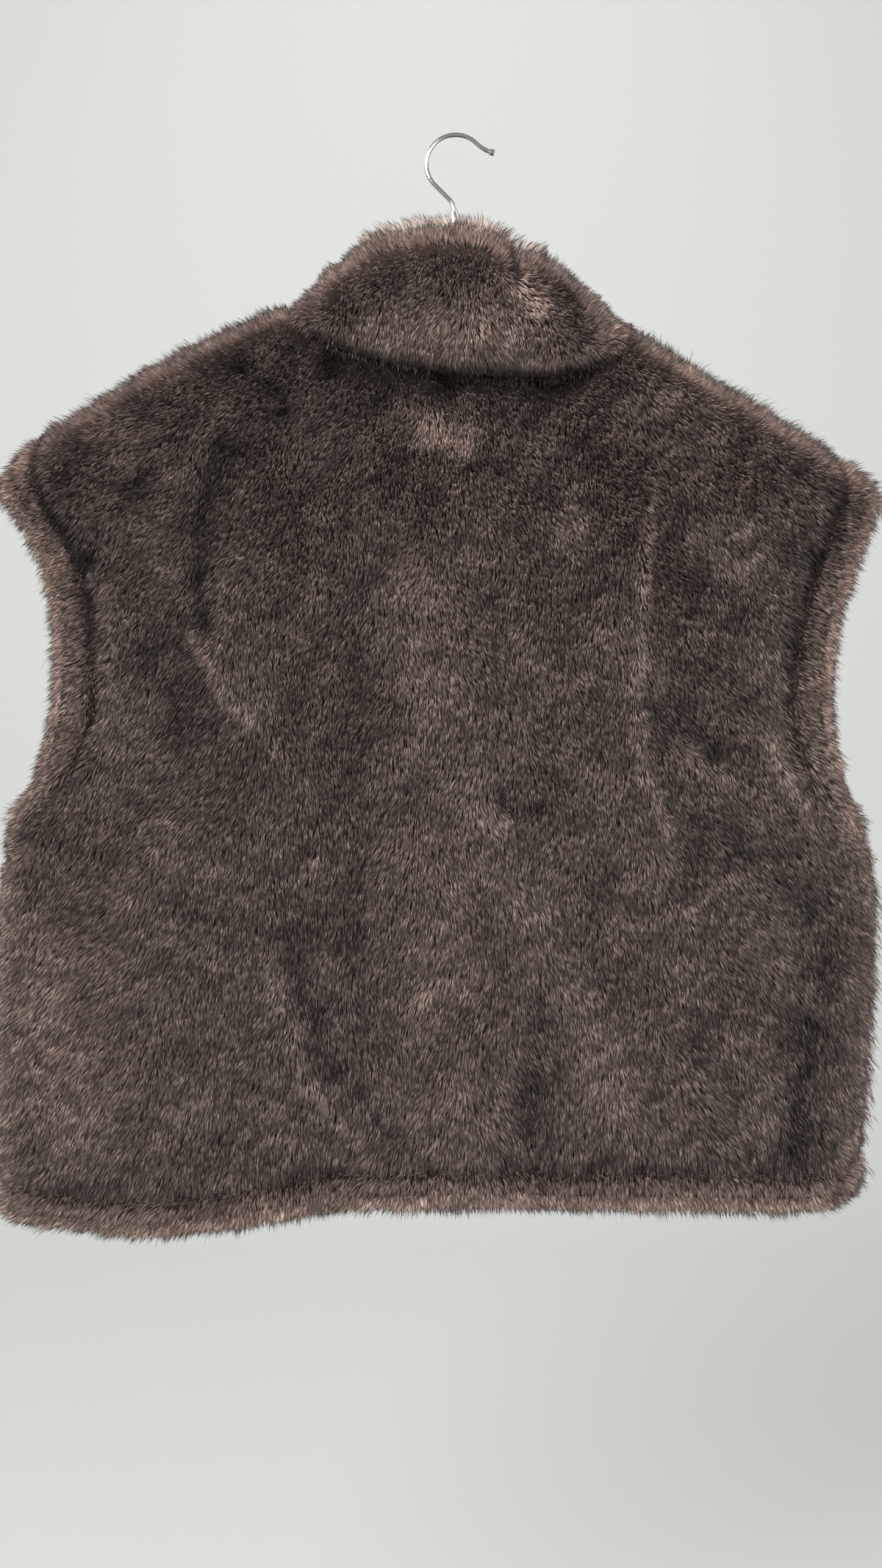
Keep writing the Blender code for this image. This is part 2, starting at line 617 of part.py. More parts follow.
def add_hanger(material):
    """A wooden arm swept from end to end, with rounded edges."""
    stations = np.linspace(-HANGER_REACH, HANGER_REACH, 35)
    around = np.linspace(0, 2 * math.pi, 13)[:-1]
    vertices, faces = [], []
    for x in stations:
        share = abs(x) / HANGER_REACH
        tall = HANGER_TALL_MIDDLE + (HANGER_TALL_END - HANGER_TALL_MIDDLE) * share
        end = rounded(np.array(HANGER_REACH + 0.001 - abs(x)), 0.012)
        tall, thick = tall * (0.45 + 0.55 * end), HANGER_THICK * (0.45 + 0.55 * end)
        centre = hanger_top(float(x)) - tall / 2
        for turn in around:
            across, up = math.cos(turn), math.sin(turn)
            squared = 0.75
            y = thick / 2 * math.copysign(abs(across) ** squared, across)
            z = tall / 2 * math.copysign(abs(up) ** squared, up)
            vertices.append((float(x), y, centre + z))
    count = len(around)
    for i in range(len(stations) - 1):
        for k in range(count):
            a, b = i * count + k, i * count + (k + 1) % count
            faces.append((a, b, b + count, a + count))
    faces.append(tuple(range(count))[::-1])
    faces.append(tuple(range((len(stations) - 1) * count, len(stations) * count)))
    add_object("hanger", vertices, faces, material)


def hook_route():
    """The wire's centreline and its thickness along the way, from the hanger to the tip."""
    centre = np.array([0.0, WIRE_R - HOOK_R])
    points = []
    angle = HOOK_BACK_ANGLE
    low = centre + HOOK_R * np.array([math.cos(angle), math.sin(angle)])
    slant = np.array([-math.sin(angle), math.cos(angle)])
    # The slanting stretch turns into the stem through an arc that is tangent to both.
    turn = math.pi / 4
    cut = HOOK_NECK_R * math.tan(turn / 2)
    corner = low + slant * ((HOOK_STEM_X - low[0]) / slant[0])
    arc_centre = np.array([HOOK_STEM_X - HOOK_NECK_R, corner[1] - cut])
    stem_foot = hanger_top(HOOK_STEM_X) + SEAM_GAP
    points += [(HOOK_STEM_X, z) for z in np.linspace(stem_foot, arc_centre[1], 5)[:-1]]
    for step in np.linspace(0, turn, 5):
        points.append(tuple(arc_centre + HOOK_NECK_R * np.array([math.cos(step), math.sin(step)])))
    points += [tuple(corner - slant * cut + (low - corner + slant * cut) * t) for t in (0.5,)]
    for step in np.linspace(HOOK_BACK_ANGLE, HOOK_TIP_ANGLE, 25):
        points.append(tuple(centre + HOOK_R * np.array([math.cos(step), math.sin(step)])))
    start = np.array(points[-1])
    away = np.array([math.cos(HOOK_TIP_ANGLE), math.sin(HOOK_TIP_ANGLE)])
    tip_centre = start + HOOK_TIP_CURVE_R * away
    for step in np.linspace(0, math.radians(33), 8)[1:]:
        turned = HOOK_TIP_ANGLE + math.pi + step
        points.append(tuple(tip_centre + HOOK_TIP_CURVE_R * np.array([math.cos(turned), math.sin(turned)])))
    thickness = [1.0] * len(points)
    thickness[-3:] = [1.0, HOOK_TIP_FLARE, HOOK_TIP_FLARE]
    return points, thickness


def add_hook(material):
    points, thickness = hook_route()
    wire = bpy.data.curves.new("hook", "CURVE")
    wire.dimensions = "3D"
    wire.bevel_depth = WIRE_R
    wire.bevel_resolution = 2
    wire.use_fill_caps = True
    line = wire.splines.new("POLY")
    line.points.add(len(points) - 1)
    for spot, (x, z), thick in zip(line.points, points, thickness):
        spot.co = (x, 0, z, 1)
        spot.radius = thick
    wire.materials.append(material)
    thing = bpy.data.objects.new("hook", wire)
    bpy.context.scene.collection.objects.link(thing)


def new_material(name, colour, roughness, metallic=0.0):
    material = bpy.data.materials.new(name)
    material.use_nodes = True
    shader = material.node_tree.nodes["Principled BSDF"]
    shader.inputs["Base Color"].default_value = (*colour, 1)
    shader.inputs["Roughness"].default_value = roughness
    shader.inputs["Metallic"].default_value = metallic
    return material


def main():
    for thing in list(bpy.data.objects):
        bpy.data.objects.remove(thing)
    fur = new_material("taupe_fur", (0.11, 0.080, 0.066), 0.85)
    fur_band = new_material("taupe_fur_band", (0.15, 0.112, 0.094), 0.85)
    fur_collar = new_material("taupe_fur_collar", (0.13, 0.096, 0.080), 0.85)
    wood = new_material("hanger_wood", (0.55, 0.38, 0.22), 0.5)
    steel = new_material("hook_steel", (0.62, 0.62, 0.63), 0.22, metallic=1.0)
    add_back(fur)
    add_fronts(fur)
    add_hem_bands(fur_band)
    add_armhole_band("armhole_band_left", LEFT, fur_band)
    add_armhole_band("armhole_band_right", RIGHT, fur_band)
    add_collar(fur_collar)
    add_hanger(wood)
    add_hook(steel)


main()
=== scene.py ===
"""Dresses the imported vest: fur on every cloth piece, a wooden hanger, a plated hook and a pale studio."""

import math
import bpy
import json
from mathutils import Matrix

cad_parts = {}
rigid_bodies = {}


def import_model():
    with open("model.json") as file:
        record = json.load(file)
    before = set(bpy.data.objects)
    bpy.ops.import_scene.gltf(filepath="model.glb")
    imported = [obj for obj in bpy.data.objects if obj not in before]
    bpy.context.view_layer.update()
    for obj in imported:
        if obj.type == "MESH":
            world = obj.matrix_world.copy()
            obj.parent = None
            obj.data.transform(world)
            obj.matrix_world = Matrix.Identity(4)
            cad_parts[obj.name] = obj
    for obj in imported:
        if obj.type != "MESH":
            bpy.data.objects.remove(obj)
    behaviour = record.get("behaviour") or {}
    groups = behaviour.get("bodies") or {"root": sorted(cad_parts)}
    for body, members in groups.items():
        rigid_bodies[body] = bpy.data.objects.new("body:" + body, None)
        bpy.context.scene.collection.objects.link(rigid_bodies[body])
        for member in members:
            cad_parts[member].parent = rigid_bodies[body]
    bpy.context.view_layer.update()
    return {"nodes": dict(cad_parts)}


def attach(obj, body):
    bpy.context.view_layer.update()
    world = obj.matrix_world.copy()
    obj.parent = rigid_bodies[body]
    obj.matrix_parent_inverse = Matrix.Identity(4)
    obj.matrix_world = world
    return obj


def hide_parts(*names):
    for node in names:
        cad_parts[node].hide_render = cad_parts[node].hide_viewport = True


bl_info = {
    "name": "Fur vest on a hanger",
    "version": (1, 0, 0),
    "blender": (4, 5, 0),
    "location": "3D View > Sidebar > Fur vest",
    "description": "Grows the pile on a cropped fur vest and finishes the hanger that holds it",
    "category": "Object",
}

from types import SimpleNamespace

import bmesh
import bpy
import numpy as np
from mathutils import Vector
from mathutils.bvhtree import BVHTree
from mathutils.kdtree import KDTree

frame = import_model()
NODES = frame["nodes"]

# Cloth nodes, with each one's neighbours across a visible seam.
NEIGHBOURS = {
    "back_panel": ("hem_band_back", "armhole_band_left", "armhole_band_right", "collar"),
    "front_panel_left": ("front_panel_right", "hem_band_left", "armhole_band_left", "collar"),
    "front_panel_right": ("front_panel_left", "hem_band_right", "armhole_band_right", "collar"),
    "hem_band_back": ("back_panel",),
    "hem_band_left": ("front_panel_left", "hem_band_right"),
    "hem_band_right": ("front_panel_right", "hem_band_left"),
    "armhole_band_left": ("back_panel", "front_panel_left"),
    "armhole_band_right": ("back_panel", "front_panel_right"),
    "collar": ("back_panel", "front_panel_left", "front_panel_right"),
}
CLOTH_SLOT = {
    "back_panel": "taupe_fur",
    "front_panel_left": "taupe_fur",
    "front_panel_right": "taupe_fur",
    "collar": "taupe_fur_collar",
}
BAND_SLOT = "taupe_fur_band"

# Hairs per cloth node, and into how many pieces they are split.
HAIRS = {
    "back_panel": (236000, 3),
    "front_panel_left": (74000, 1),
    "front_panel_right": (70000, 1),
    "hem_band_back": (16000, 1),
    "hem_band_left": (5500, 1),
    "hem_band_right": (5500, 1),
    "armhole_band_left": (15500, 1),
    "armhole_band_right": (14500, 1),
    "collar": (38000, 1),
}
GUARD_SHARE = 0.34

# How the pile of the panels, the collar and the bands differs: how bright it is, how far it leans over a
# seam, how much steeper it stands in the upper half, how much shorter it is where it stands up, and how much
# of the seams' painted shade and of the outline's painted light it takes.
MANNERS = {
    "taupe_fur": {
        "bright": 0.75, "lean": 0.9, "steeper": 0.20, "shorter": 0.08, "seam_painted_shade": 1.0, "rim_painted_light": 1.0,
    },
    "taupe_fur_collar": {
        "bright": 0.92, "lean": 0.3, "steeper": 0.0, "shorter": 0.17, "seam_painted_shade": 0.6, "rim_painted_light": 0.65,
    },
    "taupe_fur_band": {
        "bright": 0.84, "lean": 0.3, "steeper": 0.0, "shorter": 0.08, "seam_painted_shade": 1.0, "rim_painted_light": 1.0,
    },
}

# Lengths and places below are in metres, and angles in radians. A name that ends in SOFT is how far the
# change at the value beside it is spread. Noise is a sum of waves whose lengths spread round its swell.
WAVE_RANGE = (0.65, 1.5)

# Where along its length a hair bends, how much flatter it lies past the bend, and between which angles.
BEND_PLACE = 0.56
BEND_FALL, FALL_RANGE = 0.38, (0.10, 1.2)

# How a hair uses its UV map: the brightest shade across, how far its faces reach to each side of its shade,
# the empty edge, and the heights that one kind of hair takes and where the guard hairs start.
SHADE_SPAN, SHADE_WIDTH = 2.7, 0.004
UV_EDGE, UV_HEIGHT, UV_GUARD = 0.01, 0.48, 0.5

# How far lines of sight spread, how many stand round each face's own, how long they are, and how many of
# them may be blocked from a seam's lip, which is a face that looks away from the wearer at least this much.
SIGHT_SPREAD, SIGHTS, SIGHT_LENGTH = 0.7, 8, 1.0
LIP_BLOCKED, LIP_FACING = 7, 0.3

# Rays start this far off the surface they leave, outwards and inwards. The wall is nowhere thicker than its
# reach, and at an edge too sharp to measure the pile has the edge's depth.
SKIN, UNDER_SKIN = 1e-5, 0.0003
WALL_REACH, EDGE_DEPTH = 0.03, 0.002

# Where the collar's ends meet at the front, and the front's opening: its place, how far to each side the pile
# parts, and how much it still leans there.
COLLAR_SPLIT = 0.001
OPENING_X, OPENING_REACH, OPENING_LEAN = -0.009, 0.025, 0.15

# How far seams are searched, how far one is felt in the way the pile lies, and how near it no hair grows.
SEAM_SEARCH, SEAM_REACH, SEAM_BARE = 0.016, 0.009, 0.0009
# Painted shade in the groove of a seam: how strongly the hairs beside it are darkened, how far from it, and
# how
# much less at the hem. How uneven that is: strength, swell and seed.
SEAM_PAINTED_SHADE, SEAM_PAINTED_SHADE_REACH, HEM_PALER = 0.36, 0.013, 0.85
SEAM_UNEVEN = ((0.35, 0.070, 24),)
# How much longer and shorter hairs are that fall over a seam and that lie away from it, and how much flatter.
SEAM_LONGER, SEAM_SHORTER = 0.25, 0.20
SEAM_FLATTER, SEAM_STEEPER = 0.10, 0.45
# At side and shoulder seams: how far they are searched and felt, how much the pile crosses, and its painted
# shade.
PIECE_SEARCH, PIECE_REACH, PIECE_CROSSING, PIECE_PAINTED_SHADE = 0.008, 0.007, 0.22, 0.22
# Next to another piece the roots go straight in, up to this distance.
STRAIGHT_SEARCH, STRAIGHT_START, STRAIGHT_SOFT = 0.012, 0.003, 0.009
# Where a seam meets the outline the pile is rooted this much less deep.
CORNER_SHARE, CORNER_REACH = 0.6, 0.012

# Painted light along the garment's outline, for the pale shafts that show there from the side, and how far in
# it starts and ends. An outline is a face turned edgeways to the viewer that isn't sewn to another piece.
RIM_PAINTED_LIGHT, RIM_START, RIM_REACH, RIM_SEARCH = 0.94, 0.001, 0.023, 0.03
EDGEWAYS, SEWN_SEARCH, UNSEWN = 0.5, 0.006, 0.0059
# Along it the hairs stand steeper, above this height.
RIM_STEEPER, RIM_STEEPER_Z, RIM_STEEPER_SOFT = 0.24, -0.34, 0.06

# Nearer the outline than this, the pile of the collar and of the shoulders stands up instead of down. Low on
# the collar it doesn't.
COLLAR_PARTING, COLLAR_PARTING_SOFT = 0.022, 0.014
SHOULDER_PARTING, SHOULDER_PARTING_SOFT = 0.016, 0.012
SHOULDER_Z, SHOULDER_SOFT = -0.30, 0.03
COLLAR_LOW, COLLAR_LOW_SOFT = 0.004, 0.010
# Pile in between stands off the cloth. Low on the collar it is short.
PARTING_STEEPER, COLLAR_LOW_SHORTER = 1.5, 0.42

# Brushing. Strength, swell and seed of the swirls in it.
SWIRLS = ((0.16, 0.090, 11), (0.12, 0.035, 12))
# How far outwards it lies on the armhole bands.
BAND_ACROSS = 1.15
# How far it fans out on the collar: all over, where it stands up, and at the corners.
COLLAR_FAN, COLLAR_FAN_UP, COLLAR_FAN_CORNER = 0.35, 0.5, 1.2
COLLAR_HALF, COLLAR_CORNER, COLLAR_CORNER_SOFT = 0.11, 0.075, 0.025
# How far outwards it lies on the panels: all over, near the top, where it stands up, and off the side edges.
PANEL_OUT, PANEL_HALF = 0.42, 0.3
TOP_OUT, TOP_SOFT, UP_OUT, UP_OUT_SPREAD = 0.35, 0.12, 0.4, 0.2
FLARE, FLARE_X, FLARE_SOFT = 1.1, 0.2, 0.05
# Round a side edge it hangs straight down, and at the top of the collar and shoulders it is brushed up.
SIDE_STRAIGHT, SIDE_FACING, SIDE_FACING_SOFT = 0.85, 0.75, 0.22
UPWARDS = 1.9

# How much the way, the rise, the length and the width of single hairs vary.
WAY_SCATTER, LIFT_SCATTER = 0.13, 0.12
LENGTH_RANGE, WIDTH_RANGE, TURN = (0.82, 1.12), (0.7, 1.25), 1.15
# How the rise varies over swells, and how much the ripples in the pile change rise and length.
SWELL_LIFT, SWELL, RIPPLE_LIFT, RIPPLE_LENGTH, RIPPLE = 0.08, 0.055, 0.06, 0.06, 0.016
STEEPER_Z, STEEPER_SOFT = -0.34, 0.12
LIFT_RANGE = (0.25, 1.35)
# A fold's relief and painted light lay the pile flat, where its pale shafts show; painted shade opens it on
# dark roots.
RELIEF_FLATTER, LIGHT_AND_SHADE_FLATTER, LIGHT_AND_SHADE_RANGE = 80, 0.45, (-0.6, 1)

# The depth of the roots: share of the wall, how far a fold may change it, and how much less it is at the
# hem's seam.
ROOT_SHARE, DEPTH_LEAST, DEPTH_MOST = 0.8, 0.3, 1.25
HEM_SHALLOWER, HEM_Z, HEM_SOFT = 0.35, -0.60, 0.05
# The backing is drawn in by this share of the wall, a little less deep than the roots.
BACKING_SHARE, BACKING_SPARE = 0.72, 0.0004
# Faces inside a seam follow the fur side this far, if they don't look the other way, and gaps up to the
# reach are closed by this share from each side.
FOLLOW_REACH, FOLLOW_FACING = 0.008, -0.3
GAP_REACH, GAP_SHARE = 0.005, 0.45

# Locks: their spacing, how strongly hairs gather in them and how that varies, how much less guard hairs and
# those at the outline do, and how much the bends follow.
CLUMP_SIZE = 0.0024
CLUMP_PULL, CLUMP_PULL_SCATTER, CLUMP_PULL_RANGE = 0.26, 0.10, (0.05, 0.6)
GUARD_LOOSER, RIM_LOOSER, BEND_PULL = 0.3, 0.5, 0.35
# Hairs that stand further apart than this are made wider to cover the cloth.
FULL_SPACING = 0.0011

# Shades: of locks, of single hairs, and blotches of two sizes with their strengths.
LOCK_SHADE, HAIR_SHADE = 0.07, 0.24
BLOTCHES = ((1.0, 0.026, 102), (0.45, 0.010, 103))
COLLAR_BLOTCH, LOW_BLOTCH, HIGH_BLOTCH, BLOTCH_Z, BLOTCH_SOFT = 0.06, 0.08, 0.10, -0.36, 0.12
# Painted light on a fold's ridge and painted shade in its trough, per unit of the fold's change.
RIDGE_PAINTED_LIGHT, TROUGH_PAINTED_SHADE = 1.3, 2.1

# Each node's own seed is this much past the last one's, and two of its noises start past that.
SEED_STEP, RIPPLE_SEED, SWELL_SEED = 31, 6, 5
# Places this alike are one vertex, nothing is divided by less than a tiny amount, and a nudge keeps a cross
# product from vanishing.
MERGE_DIGITS, TINY, NUDGE = 6, 1e-9, 1e-6
MM = 0.001

# Folds in the cloth: painted light on a ridge where the pile parts, painted shade in a trough where it is
# pressed.
# x0, z0, x1, z1 in metres, half width in mm, painted light above 0 and shade below 0, relief in mm
BACK_FOLDS = [
    # The first three rows paint the shadow that the collar casts below its seam.
    (-0.081, -0.163, -0.005, -0.177, 11.6, -0.36, -0.8),
    (-0.005, -0.178, 0.067, -0.183, 11.6, -0.38, -0.8),
    (0.067, -0.180, 0.111, -0.159, 6.3, -0.30, -0.8),
    (-0.028, -0.190, -0.014, -0.194, 5.8, -0.34, -0.6),
    (-0.041, -0.201, -0.029, -0.199, 4.3, 0.35, 0.5),
    (-0.015, -0.211, 0.001, -0.219, 10.6, 0.95, 0.5),
    (-0.131, -0.166, -0.107, -0.195, 21.7, -0.14, 0.0),
    (-0.149, -0.216, -0.164, -0.255, 9.7, -0.24, -0.8),
    (-0.164, -0.255, -0.166, -0.339, 7.2, -0.26, -1.2),
    (-0.180, -0.320, -0.168, -0.345, 3.4, 0.14, 0.7),
    (-0.168, -0.351, -0.136, -0.397, 3.9, 0.22, 1.2),
    (-0.136, -0.397, -0.094, -0.447, 3.9, 0.14, 0.4),
    (-0.186, -0.355, -0.173, -0.408, 18.3, -0.16, -0.5),
    (0.125, -0.249, 0.120, -0.313, 3.4, 0.22, 1.2),
    (0.120, -0.313, 0.116, -0.396, 3.4, 0.22, 1.2),
    (0.116, -0.408, 0.133, -0.474, 3.9, 0.22, 1.2),
    (0.137, -0.253, 0.137, -0.292, 6.8, -0.14, -0.5),
    (0.164, -0.311, 0.188, -0.360, 26.6, -0.10, 0.0),
    (0.137, -0.408, 0.149, -0.413, 12.6, -0.12, -0.5),
    (0.145, -0.422, 0.183, -0.442, 4.3, 0.26, 1.2),
    (0.200, -0.413, 0.235, -0.474, 3.9, 0.22, 1.2),
    (0.154, -0.396, 0.176, -0.427, 10.6, -0.15, -0.8),
    (0.159, -0.456, 0.183, -0.495, 13.5, -0.14, -0.5),
    (0.112, -0.537, 0.151, -0.525, 3.4, 0.18, 1.0),
    (0.151, -0.525, 0.202, -0.493, 3.4, 0.20, 1.0),
    (0.116, -0.529, 0.152, -0.517, 4.3, -0.14, -1.0),
    (0.029, -0.447, 0.033, -0.460, 3.9, -0.34, -1.6),
    (0.037, -0.462, 0.053, -0.457, 3.9, -0.34, -1.6),
    (0.055, -0.456, 0.065, -0.444, 3.9, -0.12, -1.0),
    (0.017, -0.467, 0.025, -0.469, 4.3, 0.30, 0.6),
    (-0.055, -0.414, 0.035, -0.413, 1.9, -0.12, -1.0),
    (-0.055, -0.468, 0.014, -0.467, 1.9, -0.12, -1.0),
    (-0.020, -0.311, -0.020, -0.389, 21.7, 0.20, 0.0),
    (-0.010, -0.480, -0.010, -0.548, 36.2, 0.20, 0.0),
    (-0.063, -0.321, -0.062, -0.601, 8.7, -0.11, -0.5),
    (-0.116, -0.408, -0.087, -0.553, 26.6, -0.07, 0.0),
    (-0.023, -0.588, -0.010, -0.578, 5.3, 0.32, 0.8),
    (-0.039, -0.594, -0.029, -0.574, 3.4, -0.16, -1.0),
    (-0.113, -0.545, -0.094, -0.596, 9.7, -0.09, -0.5),
    (-0.094, -0.591, -0.087, -0.625, 11.6, -0.15, -0.5),
    (-0.087, -0.625, -0.053, -0.659, 6.3, -0.13, -0.8),
    (-0.053, -0.659, -0.015, -0.698, 4.8, -0.17, -1.0),
    (-0.123, -0.553, -0.097, -0.640, 4.8, 0.13, 0.6),
    (-0.097, -0.640, -0.049, -0.693, 3.9, 0.14, 1.0),
    (0.061, -0.601, 0.049, -0.640, 12.6, -0.12, -0.2),
    (0.050, -0.649, 0.051, -0.660, 12.6, -0.09, -0.2),
    (0.051, -0.666, 0.065, -0.688, 11.6, -0.13, -0.3),
    (0.241, -0.532, 0.235, -0.602, 12.6, -0.19, -0.4),
    (0.235, -0.612, 0.225, -0.680, 12.6, -0.21, -0.4),
    (0.210, -0.495, 0.222, -0.517, 15.5, -0.13, -0.3),
    (0.173, -0.590, 0.174, -0.596, 9.7, -0.18, -0.5),
    (0.158, -0.622, 0.159, -0.625, 13.5, -0.16, -0.5),
    (0.177, -0.616, 0.209, -0.641, 3.4, 0.14, 0.8),
    (-0.271, -0.572, -0.251, -0.649, 38.6, 0.26, 0.0),
    (-0.015, -0.616, -0.005, -0.659, 29.0, 0.16, 0.0),
    (0.087, -0.616, 0.094, -0.649, 19.3, 0.16, 0.0),
    (-0.193, -0.529, -0.151, -0.530, 2.9, -0.16, -1.0),
    (-0.091, -0.488, -0.091, -0.500, 3.4, 0.18, 1.0),
    (-0.091, -0.309, -0.090, -0.319, 4.3, 0.18, 1.0),
    (0.151, -0.278, 0.202, -0.278, 2.4, 0.10, 0.5),
    (0.087, -0.692, 0.188, -0.694, 4.3, -0.16, 0.0),
    (0.212, -0.690, 0.236, -0.690, 5.8, -0.14, 0.0),
    (-0.247, -0.708, -0.222, -0.708, 6.8, -0.20, 0.0),
    (-0.107, -0.698, -0.082, -0.696, 4.8, -0.12, 0.0),
    (-0.229, -0.311, -0.229, -0.408, 6.8, 0.08, 0.5),
    (-0.259, -0.244, -0.243, -0.292, 7.2, -0.15, -0.6),
    (0.237, -0.249, 0.229, -0.297, 7.2, -0.18, -0.7),
]
# The collar's folds, in the same columns, with painted light on ridges and painted shade in troughs.
COLLAR_FOLDS = [
    (-0.057, -0.088, 0.028, -0.085, 7.6, 0.20, 0.0),
    (-0.091, -0.124, -0.057, -0.091, 5.7, 0.12, 0.0),
    (-0.048, -0.111, -0.010, -0.112, 14.2, -0.13, 0.0),
    (-0.084, -0.124, -0.072, -0.138, 10.4, -0.08, 0.0),
    (-0.048, -0.148, 0.033, -0.151, 11.4, 0.22, 0.0),
    (0.040, -0.118, 0.049, -0.131, 5.2, 0.75, 0.8),
    (0.036, -0.093, 0.038, -0.111, 2.8, -0.40, -2.5),
    (0.059, -0.112, 0.078, -0.126, 5.2, -0.28, -1.5),
    (0.075, -0.143, 0.085, -0.152, 4.7, -0.20, -1.0),
    (0.054, -0.143, 0.061, -0.148, 5.7, 0.15, 0.0),
    (-0.102, -0.131, -0.095, -0.138, 6.6, -0.20, 0.0),
]

# How far the folds' lines wander and how unevenly strong they are: strength, swell and seed.
WANDER_ACROSS, WANDER_UP = ((0.0016, 0.030, 22),), ((0.0016, 0.030, 23),)
FOLD_UNEVEN = ((0.14, 0.020, 21),)
# A hair hangs this far below its root, and so does the painted light and shade that a fold gives it.
FOLD_DROP = 0.008
# How fast a fold fades across, how strongly it pushes the pile aside, and its strength on the fronts.
FOLD_FADE, FOLD_PUSH, FRONT_FOLDS = 0.7, 0.35, 0.6


class VestPile(bpy.types.PropertyGroup):
    """Sizes of the pile."""

    under_length: bpy.props.FloatProperty(
        name="Underfur length", description="Length of the dense short hairs",
        default=0.0136, min=0.004, max=0.03, subtype="DISTANCE", unit="LENGTH",
    )
    guard_length: bpy.props.FloatProperty(
        name="Guard hair length", description="Length of the long dark-tipped hairs",
        default=0.0165, min=0.004, max=0.04, subtype="DISTANCE", unit="LENGTH",
    )
    under_width: bpy.props.FloatProperty(
        name="Underfur width", description="Width of a lock of underfur at its root",
        default=0.00078, min=0.0002, max=0.004, subtype="DISTANCE", unit="LENGTH",
    )
    guard_width: bpy.props.FloatProperty(
        name="Guard hair width", description="Width of a guard hair at its root",
        default=0.00050, min=0.0002, max=0.004, subtype="DISTANCE", unit="LENGTH",
    )
    root_depth: bpy.props.FloatProperty(
        name="Pile depth", description="How far below the fur's outline the hairs are rooted",
        default=0.0092, min=0.002, max=0.011, subtype="DISTANCE", unit="LENGTH",
    )
    lift: bpy.props.FloatProperty(
        name="Lift", description="How far the hairs stand up from the cloth at their roots",
        default=math.radians(52), min=0.1, max=1.5, subtype="ANGLE", unit="ROTATION",
    )
    seed: bpy.props.IntProperty(name="Seed", description="Changes where each hair grows", default=7)


class VestColours(bpy.types.PropertyGroup):
    """Colours of the fur, the hanger and the studio."""

    # The root colour is painted shade, standing for the dark depth of the pile.
    root: bpy.props.FloatVectorProperty(
        name="Root", description="Colour at the foot of the hairs", subtype="COLOR",
        size=3, min=0, max=1, default=(0.030, 0.021, 0.017),
    )
    shaft: bpy.props.FloatVectorProperty(
        name="Shaft", description="Colour of the middle of the hairs", subtype="COLOR",
        size=3, min=0, max=1, default=(0.404, 0.296, 0.253),
    )
    tip: bpy.props.FloatVectorProperty(
        name="Tip", description="Colour of the tips of the guard hairs", subtype="COLOR",
        size=3, min=0, max=1, default=(0.020, 0.0146, 0.0115),
    )
    # The backing's colour is kept dark as painted shade where it shows between the hairs.
    backing: bpy.props.FloatVectorProperty(
        name="Backing", description="Colour of the cloth that carries the pile", subtype="COLOR",
        size=3, min=0, max=1, default=(0.050, 0.033, 0.027),
    )
    wood: bpy.props.FloatVectorProperty(
        name="Wood", description="Colour of the hanger", subtype="COLOR",
        size=3, min=0, max=1, default=(0.50, 0.33, 0.19),
    )
    wall: bpy.props.FloatVectorProperty(
        name="Wall", description="Colour of the studio", subtype="COLOR",
        size=3, min=0, max=1, default=(0.80, 0.80, 0.765),
    )


def deselect_all():
    """An operator acts on all that is selected, so each starts with nothing selected."""
    for thing in bpy.context.view_layer.objects:
        thing.select_set(False)


# Numbers about the cloth.


def soft_noise(points, swell, seed, waves=14):
    """A smooth random field of about unit spread, with swells of the given length."""
    rng = np.random.default_rng(seed)
    heading = rng.normal(size=(waves, 3))
    heading /= np.linalg.norm(heading, axis=1, keepdims=True)
    length = swell * rng.uniform(*WAVE_RANGE, waves)
    phase = rng.uniform(0, 2 * math.pi, waves)
    return np.cos(points @ (2 * math.pi * heading / length[:, None]).T + phase).sum(1) * math.sqrt(2 / waves)


def layered_noise(points, layers):
    """Several fields of noise, each with its strength, swell and seed."""
    return sum(strength * soft_noise(points, swell, seed) for strength, swell, seed in layers)


def unit(vectors):
    return vectors / np.maximum(np.linalg.norm(vectors, axis=-1, keepdims=True), TINY)


def ease(t):
    """From 0 to 1 with a gentle start and end."""
    t = np.clip(t, 0, 1)
    return t * t * (3 - 2 * t)


def over(value, limit, soft):
    """0 up to the limit, and 1 from a soft stretch past it."""
    return ease((value - limit) / soft)


def under(value, limit, soft):
    """1 up to a soft stretch before the limit, and 0 from it."""
    return ease((limit - value) / soft)


def near(distance, soft, start=0.0):
    """1 up to the start, and 0 from a soft stretch past it."""
    return 1 - over(distance, start, soft)


def merged_mesh(node):
    """Vertices and triangles of a CAD node with its loose triangles joined."""
    mesh = NODES[node].data
    mesh.calc_loop_triangles()
    places = np.empty(len(mesh.vertices) * 3)
    mesh.vertices.foreach_get("co", places)
    corners = np.empty(len(mesh.loop_triangles) * 3, int)
    mesh.loop_triangles.foreach_get("vertices", corners)
    rounded = np.round(places.reshape(-1, 3), MERGE_DIGITS)
    keys, same = np.unique(rounded, axis=0, return_inverse=True)
    triangles = same.reshape(-1)[corners].reshape(-1, 3)
    whole = (
        (triangles[:, 0] != triangles[:, 1])
        & (triangles[:, 1] != triangles[:, 2])
        & (triangles[:, 2] != triangles[:, 0])
    )
    return keys, triangles[whole]


MESHES = {}


def cloth_mesh(node):
    """The joined mesh of a cloth node, worked out once."""
    if node not in MESHES:
        MESHES[node] = merged_mesh(node)
    return MESHES[node]


def face_crosses(places, triangles):
    """Each triangle's middle, and its normal with twice its area as length."""
    a, b, c = (places[triangles[:, i]] for i in range(3))
    return (a + b + c) / 3, np.cross(b - a, c - a)


def vertex_normals(places, triangles, cross):
    """Smooth normals at the corners of some triangles."""
    normals = np.zeros_like(places)
    for i in range(3):
        np.add.at(normals, triangles[:, i], cross)
    return unit(normals)


TREES = {}


